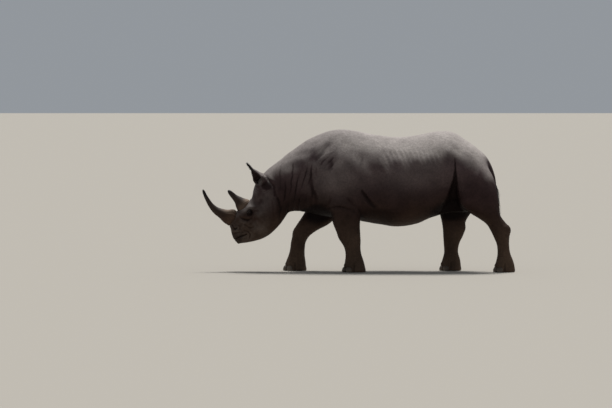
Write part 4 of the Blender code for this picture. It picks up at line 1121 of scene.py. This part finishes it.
def set_tones(colour_ramp, tones):
    """Lays (share, colour) pairs along a colour ramp, which starts with two stops."""
    stops = colour_ramp.elements
    stops[0].position, stops[1].position = tones[0][0], tones[-1][0]
    for share, _ in tones[1:-1]:
        stops.new(share)
    for stop, (_, colour) in zip(stops, tones):
        stop.color = linear(colour)


def dress(obj, material):
    """Gives a piece its one material, and shades it smooth."""
    obj.data.materials.clear()
    obj.data.materials.append(material)
    obj.data.polygons.foreach_set("use_smooth", [True] * len(obj.data.polygons))


hide, hide_shader = new_material("dusty_hide_painted_light_and_shade")
place = add_node(hide, "TexCoord", {}, "Object")
dust_and_top_light, crease_shade, bare_and_shade, height = (
    add_node(hide, "Attribute", {}, "Fac", attribute_name=name)
    for name in ("dust_and_top_light", "crease", "bare_and_shade", "height")
)
mottle = add_node(
    hide, "TexNoise", {"Vector": place, "Scale": 6.0, "Detail": 6.0, "Roughness": 0.62}, "Fac"
)
speckle = add_node(
    hide, "TexNoise", {"Vector": place, "Scale": 45.0, "Detail": 3.0, "Roughness": 0.6}, "Fac"
)
drawn_down = add_node(hide, "Mapping", {"Vector": place, "Scale": (1.0, 1.0, 0.4)}, "Vector")
wrinkled = add_node(
    hide, "TexNoise",
    {"Vector": drawn_down, "Scale": 1 / WRINKLE_SPACING, "Detail": 6.0, "Roughness": 0.62}, "Fac",
)
unsteady = add_node(hide, "TexNoise", {"Vector": place, "Scale": 30.0, "Detail": 2.0}, "Color")
astray = add_node(
    hide, "VectorMath", {0: unsteady, 1: CRACK_STRAY, 2: place}, "Vector", operation="MULTIPLY_ADD"
)
crack_edge = add_node(
    hide, "TexVoronoi", {"Vector": astray, "Scale": 1 / CRACK_SPACING}, "Distance",
    feature="DISTANCE_TO_EDGE",
)
between_cracks = add_node(
    hide, "MapRange", {"Value": crack_edge, "From Min": 0.0, "From Max": CRACK_HALF_WIDTH}, "Result"
)
up_body = add_node(hide, "MapRange", {"Value": height, "From Max": FULL_HEIGHT}, "Result")
tone_by_height = add_node(hide, "ValToRGB", {"Fac": up_body}, "Color")
set_tones(tone_by_height.node.color_ramp, [(up / FULL_HEIGHT, tone) for up, tone in HIDE_TONES])
mottling, patchy_dust_and_light = (
    add_node(hide, "MapRange", {"Value": mottle, **NOISE_SPAN, "To Min": least, "To Max": most}, "Result")
    for least, most in ((0.74, 1.27), (0.68, 1.10))
)
skin_tone = add_node(
    hide, "VectorMath", {0: tone_by_height, "Scale": mottling}, "Vector", operation="SCALE"
)
dust_and_light_share = add_node(
    hide, "Math", {0: dust_and_top_light, 1: patchy_dust_and_light}, "Value", operation="MULTIPLY", use_clamp=True
)
# The pale colour laid on is dusting, and in part painted top light.
dusted_and_lit = add_node(
    hide, "Mix", {0: dust_and_light_share, MIX_A: skin_tone, MIX_B: linear(DUST_AND_LIGHT_TONE)}, MIXED, data_type="RGBA"
)
crack_shade = add_node(
    hide, "MapRange", {"Value": between_cracks, "To Min": 0.86, "To Max": 1.0}, "Result"
)
grain_shade = add_node(
    hide, "MapRange", {"Value": speckle, **NOISE_SPAN, "To Min": 0.86, "To Max": 1.12}, "Result"
)
shade = add_node(hide, "Math", {0: crack_shade, 1: grain_shade}, "Value", operation="MULTIPLY")
hide_colour = add_node(hide, "VectorMath", {0: dusted_and_lit, "Scale": shade}, "Vector", operation="SCALE")
# Painted shade: the colour darkens towards its crease tone in creases, pockets and shaded patches, and
# towards its darkest tone round the eyes, in the ear cups and in shaded patches; the ear tips and lips darken
# too.
for where, most, tone in ((crease_shade, 0.78, CREASE_SHADE_TONE), (bare_and_shade, 0.90, BARE_AND_SHADE_TONE)):
    share = add_node(hide, "Math", {0: where, 1: most}, "Value", operation="MULTIPLY")
    hide_colour = add_node(
        hide, "Mix", {0: share, MIX_A: hide_colour, MIX_B: linear(tone)}, MIXED, data_type="RGBA"
    )
dullness = add_node(hide, "MapRange", {"Value": dust_and_light_share, "To Min": 0.58, "To Max": 0.88}, "Result")
wrinkle_bump = add_node(
    hide, "Bump", {"Height": wrinkled, "Strength": 0.55, "Distance": 0.010}, "Normal"
)
crack_bump = add_node(
    hide, "Bump",
    {"Height": between_cracks, "Normal": wrinkle_bump, "Strength": 0.38, "Distance": 0.0014}, "Normal",
)
feed(hide_shader, {
    "Base Color": hide_colour, "Roughness": dullness, "Specular IOR Level": 0.06, "Normal": crack_bump,
})
dress(skin, hide)

# The tables count from between the shoulders; the frame's eyes say where that is.
eye_low, eye_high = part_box("eye_left")
OFFSET = Vector(((eye_low.x + eye_high.x) / 2 - EYE.x, (eye_low.y + eye_high.y) / 2 + EYE.y, 0))


def put_on(obj, slot, *nodes):
    """Carries a finished piece to the frame's place, rides it, and hides the frame's parts that it stands
    for. The slot is not used.
    """
    obj.data.transform(Matrix.Translation(OFFSET))
    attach(obj, "root")
    if nodes:
        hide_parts(*nodes)


put_on(skin, "trunk_hide", "trunk", "neck", "head", "tail", "ear_left", "ear_right", *LEGS)


# --------------------------------------------------------------------------------------------
# The horns: packed fibres of horn with no bone in them, grown from the skin of the nose. Their
# bases flare, frayed and earthy, in rings; farther up they are rubbed smooth and darken to the tip.

HORN_AROUND = 112
RING_SPACING = 0.013
FURROW_DEPTH, RING_DEPTH, FRAY_DEPTH = 0.0011, 0.0024, 0.0022
FIBRE_MAP_LENGTH = 0.45
# The pale laid on the horns where they face up: dusting, and in part painted top light.
HORN_DUST_AND_LIGHT_TONE = "#8d7968"

# Its colour by the share of its length from the base.
HORN_TONES = (
    (0.08, "#4a372b"), (0.22, "#3a281e"), (0.34, "#30221a"), (0.50, "#372a22"), (0.78, "#2c221d"),
    (0.90, "#1b1614"), (1.00, "#15110f"),
)


def horn_skin(name):
    """Rings along the horn's middle line, flattened to its width. Shallow furrows run up it,
    more than thirty round, and ripple it less and less; at the base growth rings cross them.
    Returns the points with their turn round the horn, length up it, and share of its length."""
    rows = path_rows(HORNS[name], 20)
    line = in_middle_plane(rows)[:, None, :]
    up = np.concatenate([[0], np.cumsum(steps_along(rows[:, :2]))])[:, None]
    share = np.broadcast_to(up / up[-1], (len(rows), HORN_AROUND))
    turn = np.broadcast_to(round_about(HORN_AROUND), share.shape)
    spokes = rings_along(line[:, 0], np.ones(len(rows)), HORN_AROUND) - line
    bent = turn + 0.12 * np.sin(5 * share + 2 * turn)
    furrows = 0.5 * np.sin(31 * bent) + 0.35 * np.sin(53 * bent + 4 * share)
    furrows = furrows * FURROW_DEPTH * (0.25 + 0.75 * ramp(share, 0.75, 0.15))
    ring = creases(up / RING_SPACING + 0.22 * np.sin(2 * turn + 1) + 0.08 * np.sin(9 * turn))
    rings = -RING_DEPTH * ring * ramp(share, 0.50, 0.22)
    fray = FRAY_DEPTH * np.sin(23 * bent + 2) * np.sin(41 * bent) * ramp(share, 0.24, 0.12)
    relief = (furrows + rings + fray) * ramp(share, 1.0, 0.93)
    points = line + spokes * (rows[:, 2, None] + relief)[:, :, None]
    points[:, :, 1] = spokes[:, :, 1] * (rows[:, 3, None] + relief)
    return points, turn, np.broadcast_to(up, share.shape), share


# Horn is keratin, like hoof: brown and rough where it is new, grey along its rubbed length, and
# nearly black and a little polished at the tip. Fibres show as streaks along it.
horn_finish, horn_shader = new_material("horn_keratin")
up_horn = add_node(horn_finish, "Attribute", {}, "Fac", attribute_name="up_horn")
fibre_map = add_node(horn_finish, "UVMap", {}, "UV", uv_map="fibres")
fibre_run = add_node(horn_finish, "Mapping", {"Vector": fibre_map, "Scale": (42.0, 5.0, 1.0)}, "Vector")
fibres = add_node(
    horn_finish, "TexNoise", {"Vector": fibre_run, "Scale": 1.0, "Detail": 5.0, "Roughness": 0.7}, "Fac"
)
horn_place = add_node(horn_finish, "TexCoord", {}, "Object")
smears = add_node(
    horn_finish, "TexNoise", {"Vector": horn_place, "Scale": 22.0, "Detail": 4.0, "Roughness": 0.6}, "Fac"
)
smear_shift = add_node(
    horn_finish, "MapRange", {"Value": smears, "To Min": -0.14, "To Max": 0.14}, "Result"
)
up_smeared = add_node(horn_finish, "Math", {0: up_horn, 1: smear_shift}, "Value", operation="ADD")
along_horn = add_node(horn_finish, "ValToRGB", {"Fac": up_smeared}, "Color")
set_tones(along_horn.node.color_ramp, HORN_TONES)
fibre_shade = add_node(
    horn_finish, "MapRange", {"Value": fibres, **NOISE_SPAN, "To Min": 0.62, "To Max": 1.25}, "Result"
)
horn_colour = add_node(
    horn_finish, "VectorMath", {0: along_horn, "Scale": fibre_shade}, "Vector", operation="SCALE"
)
# Dusting on the faces turned up, in part painted top light, pales the horn.
horn_dust_and_light = add_node(horn_finish, "Attribute", {}, "Fac", attribute_name="dust_and_top_light")
horn_with_dust_and_light = add_node(
    horn_finish, "Mix", {0: horn_dust_and_light, MIX_A: horn_colour, MIX_B: linear(HORN_DUST_AND_LIGHT_TONE)}, MIXED,
    data_type="RGBA",
)
horn_dullness = add_node(
    horn_finish, "MapRange",
    {"Value": up_horn, "From Min": 0.2, "From Max": 0.9, "To Min": 0.72, "To Max": 0.40}, "Result",
)
fibre_bump = add_node(
    horn_finish, "Bump", {"Height": fibres, "Strength": 0.6, "Distance": 0.0025}, "Normal"
)
feed(horn_shader, {
    "Base Color": horn_with_dust_and_light, "Roughness": horn_dullness, "Specular IOR Level": 0.18, "Normal": fibre_bump,
})


def finished(name, shapes, material):
    """One smooth-shaded piece of one material from several (points, faces)."""
    piece = joined(name, shapes)
    dress(piece, material)
    return piece


def corner_points(mesh):
    """The point that each corner of each face stands on."""
    corners = np.empty(len(mesh.loops), np.int32)
    mesh.loops.foreach_get("vertex_index", corners)
    return corners


def add_map(mesh, name, uv):
    """A map of the mesh from a (u, v) for each corner of each face."""
    mesh.uv_layers.new(name=name).data.foreach_set("uv", uv.astype(np.float32).ravel())


def with_ends(values):
    """The values of the rings' points, and of the two points that close the ends."""
    return np.concatenate([values.ravel(), values[0, :1], values[-1, :1]])


for name in HORNS:
    rings, turn, up, share = horn_skin(name)
    horn = finished("visual_" + name, [closed_tube(rings)], horn_finish)
    share = with_ends(share)
    store(horn.data, "up_horn", share)
    # Dusting, partly painted top light, lies on the faces turned up near the base, and the rear horn has
    # earth round its base too.
    faces_up = ramp(normals_of(horn.data)[:, 2], 0.3, 0.9) * ramp(share, 0.48, 0.22)
    earthy = 0.26 * ramp(share, 0.45, 0.20)
    store(horn.data, "dust_and_top_light", 0.70 * faces_up if name == "horn_front" else 0.90 * faces_up + earthy)
    corners = corner_points(horn.data)
    round_it = (with_ends(turn) / (2 * math.pi))[corners]
    up_it = with_ends(up)[corners] / FIBRE_MAP_LENGTH
    add_map(horn.data, "fibres", np.stack([round_it, up_it], axis=1))
    put_on(horn, "horn_keratin", name)


# --------------------------------------------------------------------------------------------
# The eyes: small dark wet balls, each with a clear bulge over a brown iris and a level pupil.

IRIS_RADIUS = 0.0125
PUPIL_RADIUS = 0.0058
CORNEA_BULGE = 0.0011

# Its colour by the distance from the middle of the pupil, as a share of twice the iris's radius.
PUPIL_EDGE = PUPIL_RADIUS / (2 * IRIS_RADIUS)
EYE_TONES = (
    (PUPIL_EDGE - 0.02, "#050404"), (PUPIL_EDGE + 0.02, "#3a2416"), (0.45, "#22140c"),
    (0.51, "#0d0806"), (0.62, "#2b1d17"),
)


def eyeball(side):
    """A ball that stands a little prouder over its iris. Its pole looks out of the head. Returns
    its shape, and how far each point lies from the middle of the pupil."""
    phi, theta = np.meshgrid(np.linspace(0.04, math.pi - 0.04, 40), round_about(64), indexing="ij")
    away = EYE_RADIUS * np.sin(phi) + EYE_RADIUS * (phi > math.pi / 2)
    radius = EYE_RADIUS + CORNEA_BULGE * ramp(away, IRIS_RADIUS, 0.3 * IRIS_RADIUS)
    local = radius[:, :, None] * np.stack(
        [np.sin(phi) * np.cos(theta), np.sin(phi) * np.sin(theta), np.cos(phi)], axis=2
    )
    look = Vector((EYE_OUTWARD.x, side * EYE_OUTWARD.y, EYE_OUTWARD.z))
    turn = np.array(look.to_track_quat("Z", "X").to_matrix())
    rings = local @ turn.T + (EYE.x, side * EYE.y, EYE.z)
    return closed_tube(rings), np.concatenate([away.ravel(), [0.0, 2 * EYE_RADIUS]])


# A living eye is wet: a clear, glossy skin over the dark brown iris and the brown of the white.
wet_eye, wet_shader = new_material("wet_brown_eye")
from_pupil = add_node(wet_eye, "Attribute", {}, "Fac", attribute_name="from_pupil")
in_rings = add_node(wet_eye, "MapRange", {"Value": from_pupil, "From Max": 2 * IRIS_RADIUS}, "Result")
eye_tones = add_node(wet_eye, "ValToRGB", {"Fac": in_rings}, "Color")
set_tones(eye_tones.node.color_ramp, EYE_TONES)
feed(wet_shader, {"Base Color": eye_tones, "Roughness": 0.10, "Specular IOR Level": 0.30})

for where, side in SIDES.items():
    shape, away = eyeball(side)
    ball = finished(f"visual_eye_{where}", [shape], wet_eye)
    store(ball.data, "from_pupil", away)
    put_on(ball, "eye_gloss", f"eye_{where}")


# --------------------------------------------------------------------------------------------
# The toenails: three broad blunt shields on the front of each foot, of the same horn as hooves,
# set in the hide at the top and worn level just clear of the floor.

NAIL_LIFT = 0.004
NAIL_THICKNESS = 0.024
NAIL_LEAN = math.radians(20)
NAIL_TONE, WORN_TONE = "#443a32", "#675b50"


def toenail(foot, which):
    """A squarish ellipsoid that leans back as it rises, with level growth lines across its face,
    laid flat where it would dip below the nail's worn edge."""
    x, y, half_length, half_width = FEET[foot]
    turn, half_across = NAILS[which]
    turn = math.radians(turn * math.copysign(1, y))
    phi, theta = np.meshgrid(np.linspace(0.05, math.pi - 0.05, 44), round_about(56), indexing="ij")
    square = lambda wave: np.sign(wave) * np.abs(wave) ** 0.8
    unit = np.stack(
        [np.sin(phi) * square(np.cos(theta)), np.sin(phi) * square(np.sin(theta)), np.cos(phi)], axis=2
    )
    lines = 1 - 0.018 * creases(unit[:, :, 2] * 4.5 + 0.1 * np.sin(3 * unit[:, :, 1]))
    local = unit * lines[:, :, None] * (NAIL_THICKNESS, half_across, NAIL_HEIGHT * 0.62)
    ahead = Vector((-math.cos(turn) * half_length, math.sin(turn) * half_width, 0))
    heading = math.atan2(ahead.y, ahead.x) - math.pi
    lean = Matrix.Rotation(NAIL_LEAN, 3, "Y")
    facing = np.array(Matrix.Rotation(heading, 3, "Z") @ lean)
    points = turned(local, facing) + np.array(Vector((x, y, NAIL_HEIGHT * 0.40)) + ahead * 0.93)
    points[:, :, 2] = np.maximum(points[:, :, 2], NAIL_LIFT)
    return closed_tube(points)


# Toenails are the same keratin as hoof, grey-brown and dull, scuffed paler towards the worn edge.
nail_finish, nail_shader = new_material("toenail_keratin")
nail_place = add_node(nail_finish, "TexCoord", {}, "Object")
nail_height = add_node(nail_finish, "SeparateXYZ", {"Vector": nail_place}, "Z")
worn = add_node(nail_finish, "MapRange", {"Value": nail_height, "From Min": 0.06, "From Max": 0.01}, "Result")
scuffs = add_node(
    nail_finish, "TexNoise", {"Vector": nail_place, "Scale": 90.0, "Detail": 4.0, "Roughness": 0.65}, "Fac"
)
nail_tone = add_node(
    nail_finish, "Mix", {0: worn, MIX_A: linear(NAIL_TONE), MIX_B: linear(WORN_TONE)}, MIXED,
    data_type="RGBA",
)
scuff_shade = add_node(nail_finish, "MapRange", {"Value": scuffs, "To Min": 0.6, "To Max": 1.4}, "Result")
nail_colour = add_node(
    nail_finish, "VectorMath", {0: nail_tone, "Scale": scuff_shade}, "Vector", operation="SCALE"
)
nail_bump = add_node(nail_finish, "Bump", {"Height": scuffs, "Strength": 0.4, "Distance": 0.001}, "Normal")
feed(nail_shader, {
    "Base Color": nail_colour, "Roughness": 0.62, "Specular IOR Level": 0.20, "Normal": nail_bump,
})

for foot in FEET:
    for which in NAILS:
        node = f"toenail_{foot}_{which}"
        nail = finished("visual_" + node, [toenail(foot, which)], nail_finish)
        put_on(nail, "toenail_horn", node)


# --------------------------------------------------------------------------------------------
# The hair: stiff dark bristles are all that the hide bears. They fringe the rims and the tips of
# the ears, edge the last third of the tail like the barbs of a feather, and lash the eyelids.

HAIR_STEPS = 5
TUFT_PATCH = 0.003
BRISTLE_TONES = ("#120e0d", "#332822")


def bristles(name, roots, ways, sags, lengths, width, root_maps):
    """Tapered three-sided hairs. Each runs from its root along its way and bends over by its sag
    as the square of the length run; it narrows to a point. Each has its own small patch on the
    map, at its root's place on the skin under it."""
    count = len(roots)
    run = np.linspace(0, 1, HAIR_STEPS)[None, :, None]
    line = roots[:, None] + lengths[:, None, None] * (ways[:, None] * run + sags[:, None] * run**2)
    along = np.gradient(line, axis=1)
    along /= np.linalg.norm(along, axis=2)[:, :, None]
    first = np.cross(along, ways[:, None] + (0.31, 0.23, 0.57))
    first /= np.linalg.norm(first, axis=2)[:, :, None]
    second = np.cross(along, first)
    angle = round_about(3)
    half = width / 2 * (1 - 0.92 * run[..., None] ** 1.5)
    ring = first[:, :, None] * np.cos(angle)[:, None] + second[:, :, None] * np.sin(angle)[:, None]
    points = (line[:, :, None] + half * ring).reshape(-1, 3)
    start = (np.arange(count) * HAIR_STEPS * 3)[:, None, None]
    level = (np.arange(HAIR_STEPS - 1) * 3)[None, :, None]
    here, after = np.arange(3)[None, None], (np.arange(3) + 1)[None, None] % 3
    low, high = start + level, start + level + 3
    sides = np.stack([low + here, low + after, high + after, high + here], axis=-1).reshape(-1, 4)
    base = (np.arange(count) * HAIR_STEPS * 3)[:, None]
    caps = [base + (0, 2, 1), base + (HAIR_STEPS - 1) * 3 + (0, 1, 2)]
    hair = finished(name, [(points, [*sides.tolist(), *np.vstack(caps).tolist()])], bristle_finish)
    corners = corner_points(hair.data)
    which, step = corners // (HAIR_STEPS * 3), corners // 3 % HAIR_STEPS
    spread = np.stack([corners % 3 / 2, step / (HAIR_STEPS - 1)], axis=1) * TUFT_PATCH
    add_map(hair.data, "OFBake", root_maps[which] + spread)
    return hair


# Bristle is coarse hair, near black and a little glossy.
bristle_finish, bristle_shader = new_material("black_bristle")
bristle_place = add_node(bristle_finish, "TexCoord", {}, "Object")
bristle_patches = add_node(
    bristle_finish, "TexNoise", {"Vector": bristle_place, "Scale": 60.0, "Detail": 2.0}, "Fac"
)
darkest, brownest = (linear(tone) for tone in BRISTLE_TONES)
bristle_colour = add_node(
    bristle_finish, "Mix", {0: bristle_patches, MIX_A: darkest, MIX_B: brownest}, MIXED, data_type="RGBA"
)
feed(bristle_shader, {"Base Color": bristle_colour, "Roughness": 0.45})


def unit_ways(ways):
    return ways / (np.linalg.norm(ways, axis=1)[:, None] + 1e-12)


def strayed(ways, stray):
    """The ways, each drawn a little aside by chance."""
    return unit_ways(ways + chance.normal(size=ways.shape) * stray)


# Each ear bears hairs along its rim, near the edges of its sheet, and all over its tip.
RIM_HAIRS, TIP_HAIRS, EAR_HAIR_WIDTH = 230, 240, 0.0016
chance = np.random.default_rng(7)
for where, side in SIDES.items():
    rim_u, tip_u = chance.uniform(0.30, 1.0, RIM_HAIRS) ** 0.8, chance.uniform(0.74, 1.0, TIP_HAIRS)
    rim_v = np.sign(chance.normal(size=RIM_HAIRS)) * chance.uniform(0.93, 1.0, RIM_HAIRS)
    u = np.concatenate([rim_u, tip_u])
    v = np.concatenate([rim_v, chance.uniform(-1, 1, TIP_HAIRS)])
    root = ear_sheet(u, v)
    just_above = np.minimum(u + 1e-3, 1)
    up = unit_ways(ear_sheet(just_above, v) - ear_sheet(just_above - 1e-3, v))
    out = unit_ways(root - ear_sheet(u, v * 0.97))
    way = strayed(up * (0.75 + 0.25 * u[:, None]) + out * (0.60 * (1 - 0.7 * u[:, None])), 0.10)
    place = ear_place(side)
    length = 0.014 + 0.026 * u**2 + chance.uniform(0, 0.010, len(u))
    sag = np.array([0.10, 0.0, -0.10]) * chance.uniform(0.2, 1.4, len(u))[:, None]
    fringe = bristles(
        f"ear_fringe_{where}", carried(root, place), turned(way, place), sag, length,
        EAR_HAIR_WIDTH, np.stack([0.1 + 0.8 * u, 0.5 + 0.45 * v], axis=1),
    )
    put_on(fringe, f"ear_{where}_hide")

# The tail's hairs stand along its front and back edges, thicker towards its end.
TAIL_HAIRS, TAIL_HAIR_WIDTH = 420, 0.0022


def tail_at(row):
    """The tail's middle line and radius at a row, or between two."""
    stops = np.arange(len(tail_rows))
    return np.stack([np.interp(row, stops, column) for column in tail_rows.T], axis=1)


share = chance.uniform(0.60, 1.0, TAIL_HAIRS) ** 0.9
row = share * (len(tail_rows) - 1)
down_tail = unit_ways(in_middle_plane(tail_at(row + 0.5) - tail_at(row - 0.5)))
edge = np.sign(chance.normal(size=TAIL_HAIRS))
turn = np.where(edge > 0, 0.0, math.pi) + chance.normal(size=TAIL_HAIRS) * 0.5
backward = np.cross(down_tail, (0, 1, 0)) * np.cos(turn)[:, None]
outward = backward + np.array([0, 1.0, 0]) * np.sin(turn)[:, None]
tail_root = in_middle_plane(tail_at(row)) + outward * tail_at(row)[:, 2, None] * 0.8
tail_way = strayed(down_tail * 0.93 + outward * 0.24, 0.07)
tail_sag = np.array([0.0, 0.0, -0.30]) * chance.uniform(0.5, 1.2, TAIL_HAIRS)[:, None]
tail_length = 0.035 + 0.075 * share**2 + chance.uniform(0, 0.03, TAIL_HAIRS)
tuft = bristles(
    "tail_tuft", tail_root, tail_way, tail_sag, tail_length, TAIL_HAIR_WIDTH,
    np.stack([0.05 + 0.9 * share, 0.5 + 0.45 * np.sin(turn)], axis=1),
)
put_on(tuft, "tail_hide")

# Lashes stand along the upper lid only, and curl down at their ends.
LASHES, LASH_WIDTH = 46, 0.0008
for where, side in SIDES.items():
    _, _, _, (slit, across, out) = from_eye(np.array([EYE]))
    a = chance.uniform(-0.92, 0.92, LASHES) * EYE_HALF_LENGTH
    arch = EYE_HALF_OPENING * (1 - np.abs(a / EYE_HALF_LENGTH) ** 2.2)
    lid_ball = EYE_RADIUS + LID_THICKNESS * 0.8
    h = np.sqrt(lid_ball**2 - a**2 - arch**2)
    root = a[:, None] * slit + arch[:, None] * across + h[:, None] * out
    way = strayed(0.85 * out + 0.35 * across + (a / EYE_HALF_LENGTH)[:, None] * 0.45 * slit, 0.10)
    mirror = np.array([1, side, 1])
    lashes = bristles(
        f"lashes_{where}", (root + np.array(EYE)) * mirror, way * mirror,
        np.array([0, 0, -0.45]) * chance.uniform(0.4, 1.0, LASHES)[:, None],
        chance.uniform(0.010, 0.018, LASHES), LASH_WIDTH,
        np.stack([0.5 + 0.4 * a / EYE_HALF_LENGTH, 0.5 + 20 * arch], axis=1),
    )
    put_on(lashes, "head_hide")
